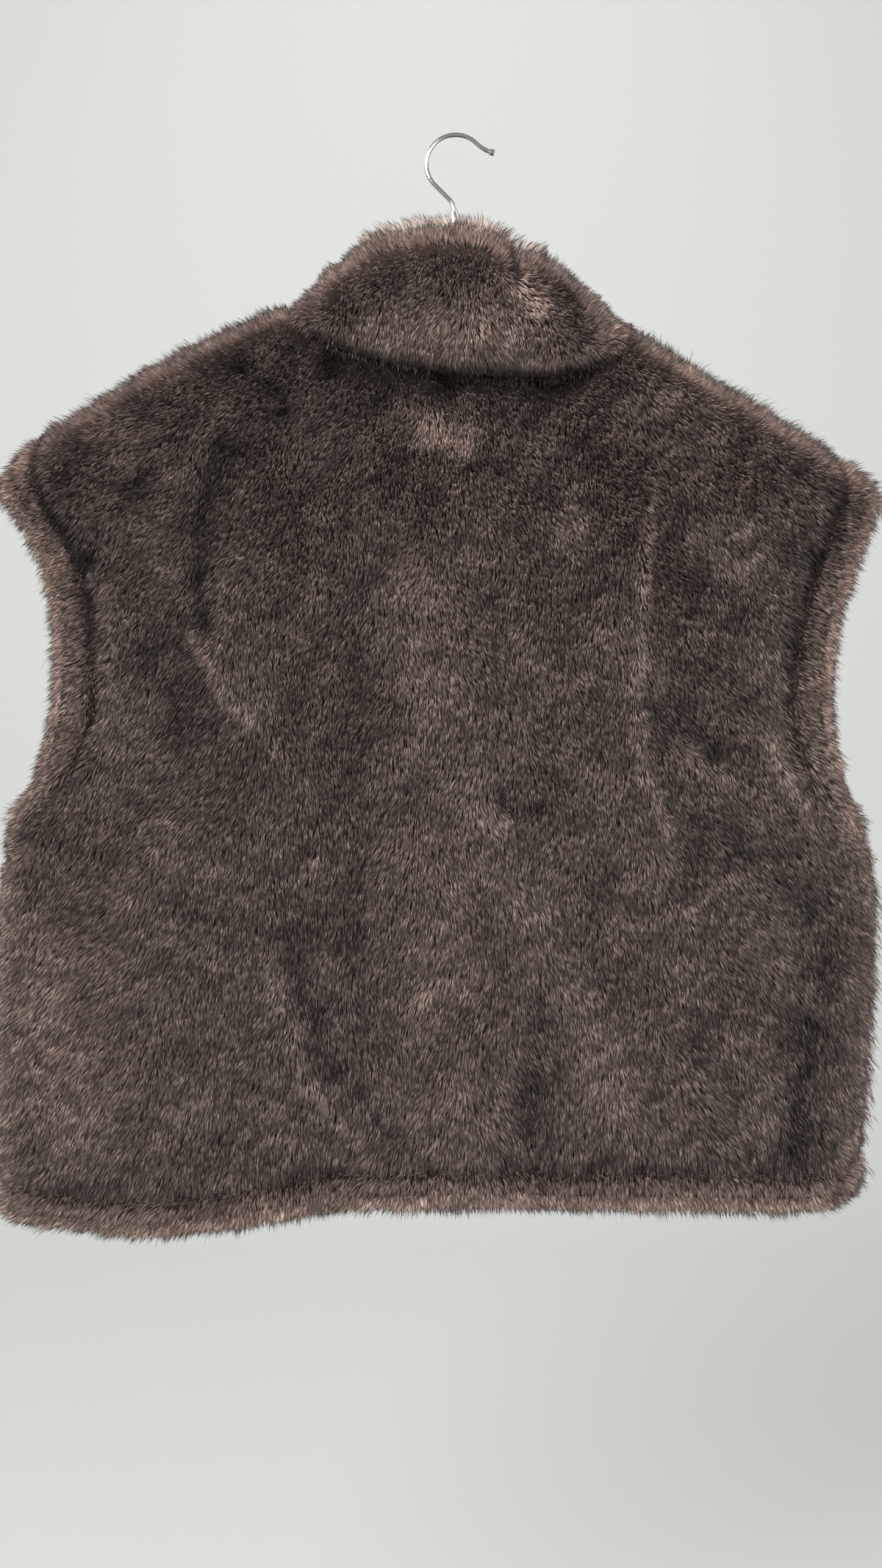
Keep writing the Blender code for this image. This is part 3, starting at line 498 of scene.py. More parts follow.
def tree_of(nodes):
    """One search tree for the surfaces of several nodes."""
    if nodes in TREES:
        return TREES[nodes]
    points, triangles, first = [], [], 0
    for node in nodes:
        places, corners = cloth_mesh(node)
        points.append(places)
        triangles.append(corners + first)
        first += len(places)
    TREES[nodes] = BVHTree.FromPolygons(np.concatenate(points).tolist(), np.concatenate(triangles).tolist())
    return TREES[nodes]


def open_faces(centre, normal, everything):
    """Whether most lines of sight from each face leave the garment. From linings and seams they don't."""
    askew = np.array([0.31, 0.22, 0.92])
    side = unit(np.cross(normal, askew))
    up = np.cross(normal, side)
    blocked = np.zeros(len(centre))
    start = (centre + normal * SKIN).tolist()
    headings = [normal]
    for turn in np.arange(SIGHTS) * 2 * math.pi / SIGHTS:
        headings.append(unit(normal + SIGHT_SPREAD * (math.cos(turn) * side + math.sin(turn) * up)))
    for heading in headings:
        for i, (place, way) in enumerate(zip(start, heading.tolist())):
            blocked[i] += everything.ray_cast(place, way, SIGHT_LENGTH)[0] is not None
    # The lips of a seam see little, but they face away from the wearer.
    lips = normal[:, 1] * np.sign(centre[:, 1]) > LIP_FACING
    return blocked < np.where(lips, LIP_BLOCKED, len(headings) / 2)


FUR_SIDES = {}


def fur_side(node):
    """The triangles that carry pile, their areas, and smooth normals at their corners."""
    if node not in FUR_SIDES:
        places, triangles = cloth_mesh(node)
        centre, cross = face_crosses(places, triangles)
        area = np.linalg.norm(cross, axis=1) / 2
        shown = open_faces(centre, unit(cross), tree_of(tuple(HAIRS))) & (area > TINY)
        normals = vertex_normals(places, triangles[shown], cross[shown])
        FUR_SIDES[node] = triangles[shown], area[shown], normals
    return FUR_SIDES[node]


def wall_depth(node, points, normals):
    """How thick the wall is under each point. A ray that finds no far side starts at a sharp edge."""
    tree = tree_of((node,))
    depth = np.full(len(points), EDGE_DEPTH)
    starts, headings = (points - normals * UNDER_SKIN).tolist(), (-normals).tolist()
    for i, (start, heading) in enumerate(zip(starts, headings)):
        hit = tree.ray_cast(start, heading, WALL_REACH)
        if hit[0] is not None:
            depth[i] = hit[3] + UNDER_SKIN
    return depth


def nearest_cloth(node, nodes, points, reach):
    """The way from points on a node to the nearest of other nodes, and how far it is, up to the reach."""
    tree = tree_of(nodes)
    way, distance = np.zeros_like(points), np.full(len(points), reach)
    for i, point in enumerate(points.tolist()):
        place, _, _, far = tree.find_nearest(point, reach)
        if place is not None:
            way[i] = (place[0] - point[0], place[1] - point[1], place[2] - point[2])
            distance[i] = far
    if node == "collar":
        # The collar is one strip, and its two ends meet at the front.
        across = 2 * (COLLAR_SPLIT - points[:, 0])
        closer = (points[:, 1] > 0) & (np.abs(across) < distance)
        way[closer] = np.sign(across[closer])[:, None] * np.array([1.0, 0.0, 0.0])
        distance[closer] = np.abs(across[closer])
    return unit(way), distance


def nearest_seam(node, points, reach):
    """The way and distance to the next piece over a seam where the pile is sewn down."""
    return nearest_cloth(node, NEIGHBOURS[node], points, reach)


def nearest_piece(node, points, reach):
    """The way and distance to any other cloth piece."""
    return nearest_cloth(node, tuple(other for other in HAIRS if other != node), points, reach)


RIMS = []


def rim_distance(points):
    """How far each point is from the garment's outline as seen from the back or the front."""
    if not RIMS:
        corners, faces = [], []
        for node in HAIRS:
            places, triangles = cloth_mesh(node)[0], fur_side(node)[0]
            centre, cross = face_crosses(places, triangles)
            edgeways = np.abs(unit(cross)[:, 1]) < EDGEWAYS
            unsewn = nearest_seam(node, centre, SEWN_SEARCH)[1] > UNSEWN
            faces.append(triangles[edgeways & unsewn] + sum(len(known) for known in corners))
            corners.append(places)
        RIMS.append(BVHTree.FromPolygons(np.concatenate(corners).tolist(), np.concatenate(faces).tolist()))
    far = [RIMS[0].find_nearest(point, RIM_SEARCH)[3] for point in points.tolist()]
    return np.array([RIM_SEARCH if value is None else value for value in far])


def folding(node, points):
    """What the folds do to each hair: the light and shade painted on it, its rise and the way it is pushed,
    in x and z.
    """
    folds = COLLAR_FOLDS if node == "collar" else BACK_FOLDS
    front = points[:, 1] > 0
    strength = np.where(front, FRONT_FOLDS, 1.0)
    strength *= 1 + layered_noise(points, FOLD_UNEVEN)
    here = np.stack([np.where(front, -points[:, 0], points[:, 0]), points[:, 2] - FOLD_DROP], axis=1)
    here[:, 0] += layered_noise(points, WANDER_ACROSS)
    here[:, 1] += layered_noise(points, WANDER_UP)
    light_and_shade, rise, push = np.zeros(len(points)), np.zeros(len(points)), np.zeros((len(points), 2))
    for x0, z0, x1, z1, half, change, relief in folds:
        start, along = np.array([x0, z0]), np.array([x1 - x0, z1 - z0])
        share = np.clip((here - start) @ along / (along @ along), 0, 1)
        off = here - start - share[:, None] * along
        far = np.linalg.norm(off, axis=1) / (half * MM)
        weight = strength * np.exp(-(far**2) * FOLD_FADE)
        # A fold paints light on its ridge and shade in its trough.
        light_and_shade += weight * change
        rise += weight * relief * MM
        push += off / (half * MM) * (weight * relief * FOLD_PUSH)[:, None]
    push[:, 0] *= np.where(front, -1, 1)
    return light_and_shade, rise, push


def corner_share(seam_far, to_rim):
    """How much less deep the pile is rooted where a seam meets the outline and would show as a notch."""
    return CORNER_SHARE * near(seam_far, CORNER_REACH) * near(to_rim, RIM_REACH, RIM_START)


def way_in(node, points, normals, depth):
    """The way from the fur's outline to the roots. Beside a seam it goes straight in, not away from it."""
    to_piece, far = nearest_piece(node, points, STRAIGHT_SEARCH)
    inwards = -normals * depth[:, None]
    aside = np.minimum((inwards * to_piece).sum(1), 0)
    return inwards - to_piece * (aside * near(far, STRAIGHT_SOFT, STRAIGHT_START))[:, None]


# Growing the pile.


def upward_share(node, points, seam_far, to_rim):
    """How far the pile is brushed up instead of down: all the way at the collar's top and the shoulders."""
    if node == "collar":
        top = under(to_rim, COLLAR_PARTING, COLLAR_PARTING_SOFT)
        return top * over(seam_far, COLLAR_LOW, COLLAR_LOW_SOFT)
    if node not in CLOTH_SLOT:
        return np.zeros(len(points))
    shoulder = under(to_rim, SHOULDER_PARTING, SHOULDER_PARTING_SOFT)
    return shoulder * over(points[:, 2], SHOULDER_Z, SHOULDER_SOFT) * (1 - near(seam_far, SEAM_REACH))


def combing(hairs):
    """Which way the pile is brushed, along the cloth."""
    x, z, upward = hairs.points[:, 0], hairs.points[:, 2], hairs.upward
    flank = np.where(x < 0, -1.0, 1.0)
    down = np.zeros_like(hairs.points)
    down[:, 2] = -1
    if hairs.node.startswith("armhole_band"):
        down[:, 0] = flank * BAND_ACROSS
    elif hairs.node == "collar":
        corner = over(np.abs(x), COLLAR_CORNER, COLLAR_CORNER_SOFT)
        down[:, 0] = x / COLLAR_HALF * (COLLAR_FAN + COLLAR_FAN_UP * upward + COLLAR_FAN_CORNER * corner)
    else:
        outwards = PANEL_OUT * x / PANEL_HALF
        top_out = TOP_OUT * over(z, SHOULDER_Z, TOP_SOFT) + UP_OUT * upward
        down[:, 0] = outwards + flank * top_out * np.clip(np.abs(x) / UP_OUT_SPREAD, 0, 1)
        down[:, 0] += flank * FLARE * hairs.edge * over(np.abs(x), FLARE_X, FLARE_SOFT)
    # Round a side edge the pile hangs straight down.
    down[:, 0] *= 1 - SIDE_STRAIGHT * over(np.abs(hairs.facing[:, 0]), SIDE_FACING, SIDE_FACING_SOFT)
    down[:, 2] += UPWARDS * upward
    down[:, 0] += layered_noise(hairs.points, SWIRLS)
    return unit(down - hairs.facing * (down * hairs.facing).sum(1, keepdims=True))


def sample_surface(places, triangles, area, normals, count, rng):
    """Points spread evenly over the fur side, with their normals."""
    order = np.searchsorted(np.cumsum(area) / area.sum(), (np.arange(count) + rng.random(count)) / count)
    order = np.clip(order, 0, len(area) - 1)
    u, v = rng.random(count), rng.random(count)
    flip = u + v > 1
    u, v = np.where(flip, 1 - u, u), np.where(flip, 1 - v, v)
    weights = np.stack([1 - u - v, u, v], axis=1)[..., None]
    corners = triangles[order]
    points = (places[corners] * weights).sum(1)
    facing = unit((normals[corners] * weights).sum(1))
    mix = rng.permutation(count)
    return points[mix], facing[mix]


def plant_hairs(node, pile, rng):
    """Where the hairs of a cloth node grow, and what lies beside each: wall, seams, folds and outline."""
    count = HAIRS[node][0]
    triangles, area, normals = fur_side(node)
    points, facing = sample_surface(cloth_mesh(node)[0], triangles, area, normals, count, rng)
    guard = (rng.random(count) < GUARD_SHARE).astype(float)
    to_seam, seam_far = nearest_seam(node, points, SEAM_SEARCH)
    to_piece, piece_far = nearest_piece(node, points, PIECE_SEARCH)
    seam = near(seam_far, SEAM_REACH)
    fold_light_and_shade, fold_rise, fold_push = folding(node, points)
    to_rim = rim_distance(points)
    return SimpleNamespace(
        node=node,
        count=count,
        area=area.sum(),
        points=points,
        facing=facing,
        guard=guard,
        wall=wall_depth(node, points, facing),
        to_seam=to_seam,
        seam_far=seam_far,
        seam=seam,
        to_piece=to_piece,
        beside_piece=near(piece_far, PIECE_REACH) * (1 - seam),
        fold_light_and_shade=fold_light_and_shade,
        fold_rise=fold_rise,
        fold_push=fold_push,
        edge=near(to_rim, RIM_REACH, RIM_START),
        corner=corner_share(seam_far, to_rim),
        upward=upward_share(node, points, seam_far, to_rim),
        ripple=soft_noise(points, RIPPLE, pile_seed(node, pile) + RIPPLE_SEED),
        manner=MANNERS[slot_of(node)],
    )


def hair_ways(hairs, rng):
    """The way each hair leaves its root along the cloth, and how far that is towards the next seam."""
    brushed = combing(hairs)
    brushed[:, [0, 2]] += hairs.fold_push
    # Hairs above a seam fall over it, and those below it stand up beside it.
    lean = hairs.manner["lean"] * np.clip(0.5 + (brushed * hairs.to_seam).sum(1), 0, 1)
    # Along the front's opening the pile parts a little.
    opening = (hairs.points[:, 1] > 0) & (np.abs(hairs.points[:, 0] - OPENING_X) < OPENING_REACH)
    lean *= np.where(opening, OPENING_LEAN, 1)
    brushed += hairs.to_seam * (lean * hairs.seam)[:, None]
    # Over the side and shoulder seams the pile crosses, so that they don't show.
    brushed += hairs.to_piece * (PIECE_CROSSING * hairs.beside_piece)[:, None]
    brushed += rng.normal(scale=WAY_SCATTER, size=brushed.shape)
    brushed = unit(brushed - hairs.facing * (brushed * hairs.facing).sum(1, keepdims=True))
    return brushed, (brushed * hairs.to_seam).sum(1)


def hair_lifts(hairs, pile, towards, rng):
    """How steeply each hair leaves the cloth."""
    z, edge, upward = hairs.points[:, 2], hairs.edge, hairs.upward
    steeper = hairs.manner["steeper"] * over(z, STEEPER_Z, STEEPER_SOFT)
    swells = SWELL_LIFT * soft_noise(hairs.points, SWELL, pile_seed(hairs.node, pile) + SWELL_SEED)
    lift = pile.lift + steeper + swells + RIPPLE_LIFT * hairs.ripple
    beside = hairs.seam * np.where(towards > 0, -SEAM_FLATTER, -SEAM_STEEPER * towards)
    lift += rng.normal(scale=LIFT_SCATTER, size=hairs.count) + beside
    at_rim = RIM_STEEPER * edge * over(z, RIM_STEEPER_Z, RIM_STEEPER_SOFT)
    lift += PARTING_STEEPER * upward * (1 - upward) + at_rim
    lift -= RELIEF_FLATTER * np.abs(hairs.fold_rise)
    return np.clip(lift - LIGHT_AND_SHADE_FLATTER * np.clip(hairs.fold_light_and_shade, *LIGHT_AND_SHADE_RANGE), *LIFT_RANGE)


def hair_lengths(hairs, pile, towards, rng):
    """How long each hair is."""
    length = np.where(hairs.guard > 0, pile.guard_length, pile.under_length)
    length = length * rng.uniform(*LENGTH_RANGE, hairs.count)
    if hairs.node == "collar":
        length *= 1 - COLLAR_LOW_SHORTER * near(hairs.seam_far, SEAM_SEARCH) * (1 - hairs.edge)
    else:
        length *= 1 - hairs.seam * np.where(towards > 0, -SEAM_LONGER, SEAM_SHORTER)
        length *= 1 - hairs.corner
    return length * ((1 + RIPPLE_LENGTH * hairs.ripple) * (1 - hairs.manner["shorter"] * hairs.upward))


def root_depths(hairs, pile):
    """How deep each hair is rooted. Troughs are sunk and ridges raised, but never past the cloth's wall."""
    depth = np.minimum(hairs.wall * ROOT_SHARE, pile.root_depth)
    depth = np.clip(depth - hairs.fold_rise, DEPTH_LEAST * depth, DEPTH_MOST * depth) * (1 - hairs.corner)
    return depth * (1 - HEM_SHALLOWER * hairs.seam * under(hairs.points[:, 2], HEM_Z, HEM_SOFT))


def clump_tips(hairs, tips, rng):
    """Draws the tips of neighbouring hairs together, as pile does, and says how strongly and round which."""
    pull = np.clip(CLUMP_PULL + CLUMP_PULL_SCATTER * rng.normal(size=hairs.count), *CLUMP_PULL_RANGE)
    pull = pull * (1 - GUARD_LOOSER * hairs.guard) * (1 - RIM_LOOSER * hairs.edge)
    chosen = rng.choice(hairs.count, int(hairs.area / CLUMP_SIZE**2), replace=False)
    tree = KDTree(len(chosen))
    for place in chosen:
        tree.insert(hairs.points[place], int(place))
    tree.balance()
    leader = np.array([tree.find(root)[1] for root in hairs.points.tolist()])
    return tips + (tips[leader] - tips) * pull[:, None], pull, leader


def half_widths(hairs, pile, way, rng):
    """From the middle to the side of each hair, which is a flat sliver turned at random about its length."""
    across = unit(np.cross(way, hairs.facing + NUDGE))
    up = np.cross(across, way)
    turn = rng.uniform(-TURN, TURN, hairs.count)
    wide = np.where(hairs.guard > 0, pile.guard_width, pile.under_width)
    wide = wide * rng.uniform(*WIDTH_RANGE, hairs.count)
    wide *= math.sqrt(max(1.0, math.sqrt(hairs.area / hairs.count) / FULL_SPACING))
    return (across * np.cos(turn)[:, None] + up * np.sin(turn)[:, None]) * (wide / 2)[:, None]


def hair_shades(hairs, leader, rng):
    """How light each hair is: its lock and its own, blotches, and painted light and shade at folds, seams,
    outline.
    """
    points, z, collar = hairs.points, hairs.points[:, 2], hairs.node == "collar"
    shade = 1 + rng.normal(scale=LOCK_SHADE, size=hairs.count)[leader]
    shade = shade + HAIR_SHADE * rng.normal(size=hairs.count)
    blotch = COLLAR_BLOTCH if collar else LOW_BLOTCH + HIGH_BLOTCH * over(z, BLOTCH_Z, BLOTCH_SOFT)
    shade += blotch * layered_noise(points, BLOTCHES)
    # Painted light on the folds' ridges and painted shade in their troughs.
    shade += np.where(hairs.fold_light_and_shade > 0, RIDGE_PAINTED_LIGHT, TROUGH_PAINTED_SHADE) * hairs.fold_light_and_shade
    # Painted shade along the side and shoulder seams.
    shade -= PIECE_PAINTED_SHADE * hairs.beside_piece
    # Painted shade in the seams' grooves, less at the hem.
    painted_seam_shade = SEAM_PAINTED_SHADE * hairs.manner["seam_painted_shade"] * (1 - HEM_PALER * under(z, HEM_Z, HEM_SOFT))
    uneven = 1 + layered_noise(points, SEAM_UNEVEN)
    shade -= painted_seam_shade * uneven * near(hairs.seam_far, SEAM_PAINTED_SHADE_REACH)
    # Painted light along the outline, less on the collar.
    return shade + RIM_PAINTED_LIGHT * hairs.edge * hairs.manner["rim_painted_light"]


def add_hairs(name, root, bend, tip, half, shade, guard, material):
    """One mesh of slender two-triangle hairs. Its UV map has the shade across and the place along a hair."""
    count = len(root)
    # Four points a hair: its root, both sides of its bend, and its tip.
    points = np.stack([root, bend - half, bend + half, tip], axis=1)
    first = 4 * np.arange(count)[:, None]
    mesh = bpy.data.meshes.new(name)
    mesh.vertices.add(count * 4)
    mesh.vertices.foreach_set("co", points.astype(np.float32).ravel())
    mesh.loops.add(count * 6)
    corners = np.array([0, 2, 1, 1, 2, 3])
    mesh.loops.foreach_set("vertex_index", (corners + first).astype(np.int32).ravel())
    mesh.polygons.add(count * 2)
    mesh.polygons.foreach_set("loop_start", np.arange(0, count * 6, 3, dtype=np.int32))
    mesh.update(calc_edges=True)
    side = np.array([0, 1, -1, -1, 1, 0]) * SHADE_WIDTH
    along = np.array([0.0, BEND_PLACE, BEND_PLACE, BEND_PLACE, BEND_PLACE, 1.0])
    # Across, the UV map holds each hair's shade, painted light and shade of folds, seams and outline
    # included.
    u = np.clip(shade / SHADE_SPAN, UV_EDGE, 1 - UV_EDGE)[:, None] + side
    v = UV_EDGE + UV_HEIGHT * along + UV_GUARD * guard[:, None]
    layer = mesh.uv_layers.new(name="OFBake")
    layer.data.foreach_set("uv", np.stack([u, v], axis=2).astype(np.float32).ravel())
    mesh.materials.append(material)
    made = bpy.data.objects.new(name, mesh)
    bpy.context.scene.collection.objects.link(made)
    return made


def pile_seed(node, pile):
    """Each node has its own seed, so that its hairs stay where they are when another changes."""
    return pile.seed + SEED_STEP * list(HAIRS).index(node)


def grow_pile(node, pile, material):
    """Every hair of one cloth node, as one or more pieces."""
    rng = np.random.default_rng(pile_seed(node, pile))
    hairs = plant_hairs(node, pile, rng)
    brushed, towards = hair_ways(hairs, rng)
    lift = hair_lifts(hairs, pile, towards, rng)
    fall = np.clip(lift - BEND_FALL, *FALL_RANGE)
    length = hair_lengths(hairs, pile, towards, rng)
    root = hairs.points + way_in(node, hairs.points, hairs.facing, root_depths(hairs, pile))
    first = brushed * np.cos(lift)[:, None] + hairs.facing * np.sin(lift)[:, None]
    last = brushed * np.cos(fall)[:, None] + hairs.facing * np.sin(fall)[:, None]
    bend = root + first * (length * BEND_PLACE)[:, None]
    tip = bend + last * (length * (1 - BEND_PLACE))[:, None]
    tip, pull, leader = clump_tips(hairs, tip, rng)
    bend = bend + (bend[leader] - bend) * (BEND_PULL * pull)[:, None]
    half = half_widths(hairs, pile, unit(tip - root), rng)
    shade = hair_shades(hairs, leader, rng)
    made = []
    pieces = HAIRS[node][1]
    for part, own in enumerate(np.array_split(np.arange(hairs.count), pieces)):
        name = f"{node}_pile" if pieces == 1 else f"{node}_pile_{part + 1}"
        own = own[hairs.seam_far[own] > SEAM_BARE]
        fields = (field[own] for field in (root, bend, tip, half, shade, hairs.guard))
        made.append(add_hairs(name, *fields, material))
    return made


def add_backing(node, pile, material):
    """The thin cloth that the pile grows on: the CAD wall with its fur side drawn in to the roots."""
    places, triangles = cloth_mesh(node)
    carrying, _, normals = fur_side(node)
    moved = places.copy()
    outer = np.unique(carrying)
    skin, facing = places[outer], normals[outer]
    # Rounded edges are drawn in as far as the flat stretches.
    draw_in = np.minimum(BACKING_SHARE * wall_depth(node, skin, facing), pile.root_depth - BACKING_SPARE)
    draw_in *= 1 - corner_share(nearest_seam(node, skin, SEAM_SEARCH)[1], rim_distance(skin))
    moved[outer] += way_in(node, skin, facing, draw_in)
    # The faces inside a seam follow the fur side beside them, and reach half way to the next piece.
    inside = np.setdiff1d(np.arange(len(places)), outer)
    tree = KDTree(len(outer))
    for place in outer:
        tree.insert(places[place], int(place))
    tree.balance()
    found = [tree.find(point)[1:] for point in places[inside].tolist()]
    leader, far = np.array([hit[0] for hit in found]), np.array([hit[1] for hit in found])
    inside_normals = vertex_normals(places, triangles, face_crosses(places, triangles)[1])[inside]
    follows = (inside_normals * normals[leader]).sum(1) > FOLLOW_FACING
    share = np.where(follows, near(far, FOLLOW_REACH), 0)
    moved[inside] += (moved - places)[leader] * share[:, None]
    way, gap = nearest_piece(node, places, GAP_REACH)
    moved += way * np.where(gap < GAP_REACH, GAP_SHARE * gap, 0)[:, None]
    mesh = bpy.data.meshes.new(f"{node}_backing")
    mesh.from_pydata(moved.tolist(), [], triangles.tolist())
    shaper = bmesh.new()
    shaper.from_mesh(mesh)
    bmesh.ops.recalc_face_normals(shaper, faces=shaper.faces)
    shaper.to_mesh(mesh)
    shaper.free()
    mesh.shade_smooth()
    mesh.materials.append(material)
    backing = bpy.data.objects.new(mesh.name, mesh)
    bpy.context.scene.collection.objects.link(backing)
    return backing


def slot_of(node):
    return CLOTH_SLOT.get(node, BAND_SLOT)


def dress(node, pile, colours):
    """Backing and pile of one cloth node, in place of its hidden CAD part and attached to the frame's root
    body.
    """
    fur = pile_for(slot_of(node), colours)
    backing = add_backing(node, pile, backing_for(colours))
    hairs = grow_pile(node, pile, fur)
    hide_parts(node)
    for piece in [backing, *hairs]:
        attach(piece, "root")


# Materials.


def rgba(colour):
    return (*[float(c) for c in colour], 1)


def new_material(name):
    material = bpy.data.materials.new(name)
    material.use_nodes = True
    return material, material.node_tree.nodes, material.node_tree.links


def pattern_surface(material, pattern, stops, strength, height):
    """A pattern's colours between two stops, and the dents that go with it."""
    nodes, links = material.node_tree.nodes, material.node_tree.links
    shader = nodes["Principled BSDF"]
    ramp = nodes.new("ShaderNodeValToRGB")
    for point, (position, colour) in zip(ramp.color_ramp.elements, stops):
        point.position = position
        point.color = rgba(colour)
    links.new(pattern, ramp.inputs["Fac"])
    links.new(ramp.outputs["Color"], shader.inputs["Base Color"])
    bump = nodes.new("ShaderNodeBump")
    bump.inputs["Strength"].default_value = strength
    bump.inputs["Distance"].default_value = height
    links.new(pattern, bump.inputs["Height"])
    links.new(bump.outputs["Normal"], shader.inputs["Normal"])


def pile_material(name, colours, brighter):
    """Colour along each hair from the pile's own UV map: a dark foot as painted shade, pale shaft and dark
    tip.
    """
    material, nodes, links = new_material(name)
    shader = nodes["Principled BSDF"]
    place = nodes.new("ShaderNodeUVMap")
    place.uv_map = "OFBake"
    split = nodes.new("ShaderNodeSeparateXYZ")
    links.new(place.outputs["UV"], split.inputs["Vector"])
    ramp = nodes.new("ShaderNodeValToRGB")
    root, shaft, tip = (np.array(c) for c in (colours.root, colours.shaft, colours.tip))
    # The dark foot of both kinds of hair is painted shade deep in the pile.
    stops = [
        (0.00, root),
        (0.12, (root + shaft) / 2),
        (0.20, shaft),
        (0.33, shaft * 0.9),
        (0.41, shaft * 0.25 + tip * 0.75),
        (0.50, tip * 1.2),
        (0.51, root),
        (0.63, (root + shaft) / 2),
        (0.71, shaft),
        (0.80, shaft * 0.8),
        (0.86, tip * 1.6),
        (0.99, tip),
    ]
    points = ramp.color_ramp.elements
    points[0].position, points[1].position = stops[0][0], stops[-1][0]
    for position, _ in stops[1:-1]:
        points.new(position)
    for point, (_, colour) in zip(points, stops):
        point.color = rgba(colour)
    links.new(split.outputs["Y"], ramp.inputs["Fac"])
    # The colour is scaled by the shade across the UV map, painted light and shade included.
    level = nodes.new("ShaderNodeMath")
    level.operation = "MULTIPLY"
    level.inputs[1].default_value = SHADE_SPAN * brighter
    links.new(split.outputs["X"], level.inputs[0])
    shade = nodes.new("ShaderNodeVectorMath")
    shade.operation = "SCALE"
    links.new(ramp.outputs["Color"], shade.inputs[0])
    links.new(level.outputs["Value"], shade.inputs["Scale"])
    links.new(shade.outputs["Vector"], shader.inputs["Base Color"])
    shader.inputs["Roughness"].default_value = 0.62
    shader.inputs["Specular IOR Level"].default_value = 0.35
    return material


def backing_material(colours):
    """A close knit that the pile is rooted in, dark in its own colour and as painted shade between the hairs.
    """
    material, nodes, links = new_material("pile backing knit and painted shade")
    shader = nodes["Principled BSDF"]
    place = nodes.new("ShaderNodeTexCoord")
    knit = nodes.new("ShaderNodeTexVoronoi")
    knit.inputs["Scale"].default_value = 900
    links.new(place.outputs["Object"], knit.inputs["Vector"])
    # Dark knit, which also paints the shade seen between the hairs.
    base = np.array(colours.backing)
    stops = ((0.0, base * 0.6), (1.0, base * 1.5))
    pattern_surface(material, knit.outputs["Distance"], stops, strength=0.3, height=0.0003)
    shader.inputs["Roughness"].default_value = 0.9
    return material


def wood_material(colours):
    """Lacquered wood with its grain along the hanger's arms."""
    material, nodes, links = new_material("hanger wood")
    shader = nodes["Principled BSDF"]
    place = nodes.new("ShaderNodeTexCoord")
    stretch = nodes.new("ShaderNodeMapping")
    stretch.inputs["Scale"].default_value = (14, 160, 160)
    grain = nodes.new("ShaderNodeTexNoise")
    grain.inputs["Scale"].default_value = 1.0
    grain.inputs["Detail"].default_value = 6
    grain.inputs["Distortion"].default_value = 0.4
    links.new(place.outputs["Object"], stretch.inputs["Vector"])
    links.new(stretch.outputs["Vector"], grain.inputs["Vector"])
    base = np.array(colours.wood)
    stops = ((0.35, base * 0.62), (0.68, base * 1.1))
    pattern_surface(material, grain.outputs["Fac"], stops, strength=0.15, height=0.0004)
    shader.inputs["Roughness"].default_value = 0.42
    shader.inputs["Coat Weight"].default_value = 0.3
    return material


def steel_material():
    """Plated wire with a fine drawn finish."""
    material, nodes, links = new_material("plated hook wire")
    shader = nodes["Principled BSDF"]
    place = nodes.new("ShaderNodeTexCoord")
    wear = nodes.new("ShaderNodeTexNoise")
    wear.inputs["Scale"].default_value = 420
    wear.inputs["Detail"].default_value = 4
    links.new(place.outputs["Object"], wear.inputs["Vector"])
    gloss = nodes.new("ShaderNodeMapRange")
    gloss.inputs["To Min"].default_value = 0.16
    gloss.inputs["To Max"].default_value = 0.34
    links.new(wear.outputs["Fac"], gloss.inputs["Value"])
    links.new(gloss.outputs["Result"], shader.inputs["Roughness"])
    shader.inputs["Base Color"].default_value = (0.42, 0.42, 0.41, 1)
    shader.inputs["Metallic"].default_value = 1.0
    return material


def plain_material(name, colour, roughness):
    material, nodes, _ = new_material(name)
    nodes["Principled BSDF"].inputs["Base Color"].default_value = rgba(colour)
    nodes["Principled BSDF"].inputs["Roughness"].default_value = roughness
    return material


def pile_for(slot, colours):
    """The pile's material for a slot."""
    name = slot.replace("_", " ") + " pile"
    return bpy.data.materials.get(name) or pile_material(name, colours, MANNERS[slot]["bright"])


def backing_for(colours):
    return bpy.data.materials.get("pile backing knit and painted shade") or backing_material(colours)


def dress_nodes(nodes, scene):
    deselect_all()
    for node in nodes:
        dress(node, scene.vest_pile, scene.vest_colours)


# Operators.


class VEST_OT_panels(bpy.types.Operator):
    """Grow the pile on the back and the two fronts"""

    bl_idname = "vest.panels"
    bl_label = "Fur panels"

    def execute(self, context):
        dress_nodes(("back_panel", "front_panel_left", "front_panel_right"), context.scene)
        return {"FINISHED"}


class VEST_OT_armhole_bands(bpy.types.Operator):
    """Grow the pile on both armhole bands"""

    bl_idname = "vest.armhole_bands"
    bl_label = "Armhole bands"

    def execute(self, context):
        dress_nodes(("armhole_band_left", "armhole_band_right"), context.scene)
        return {"FINISHED"}


class VEST_OT_hem_bands(bpy.types.Operator):
    """Grow the pile on the hem bands"""

    bl_idname = "vest.hem_bands"
    bl_label = "Hem bands"

    def execute(self, context):
        dress_nodes(("hem_band_back", "hem_band_left", "hem_band_right"), context.scene)
        return {"FINISHED"}


class VEST_OT_collar(bpy.types.Operator):
    """Grow the pile on the stand collar"""

    bl_idname = "vest.collar"
    bl_label = "Collar"

    def execute(self, context):
        dress_nodes(("collar",), context.scene)
        return {"FINISHED"}


class VEST_OT_hanger(bpy.types.Operator):
    """Finish the hanger in wood and its hook in plated wire"""

    bl_idname = "vest.hanger"
    bl_label = "Hanger and hook"

    def execute(self, context):
        deselect_all()
        finishes = {"hanger": wood_material(context.scene.vest_colours), "hook": steel_material()}
        for node, material in finishes.items():
            if node not in NODES:
                raise RuntimeError(f"the frame has no {node}")
            NODES[node].material_slots[0].material = material
        return {"FINISHED"}


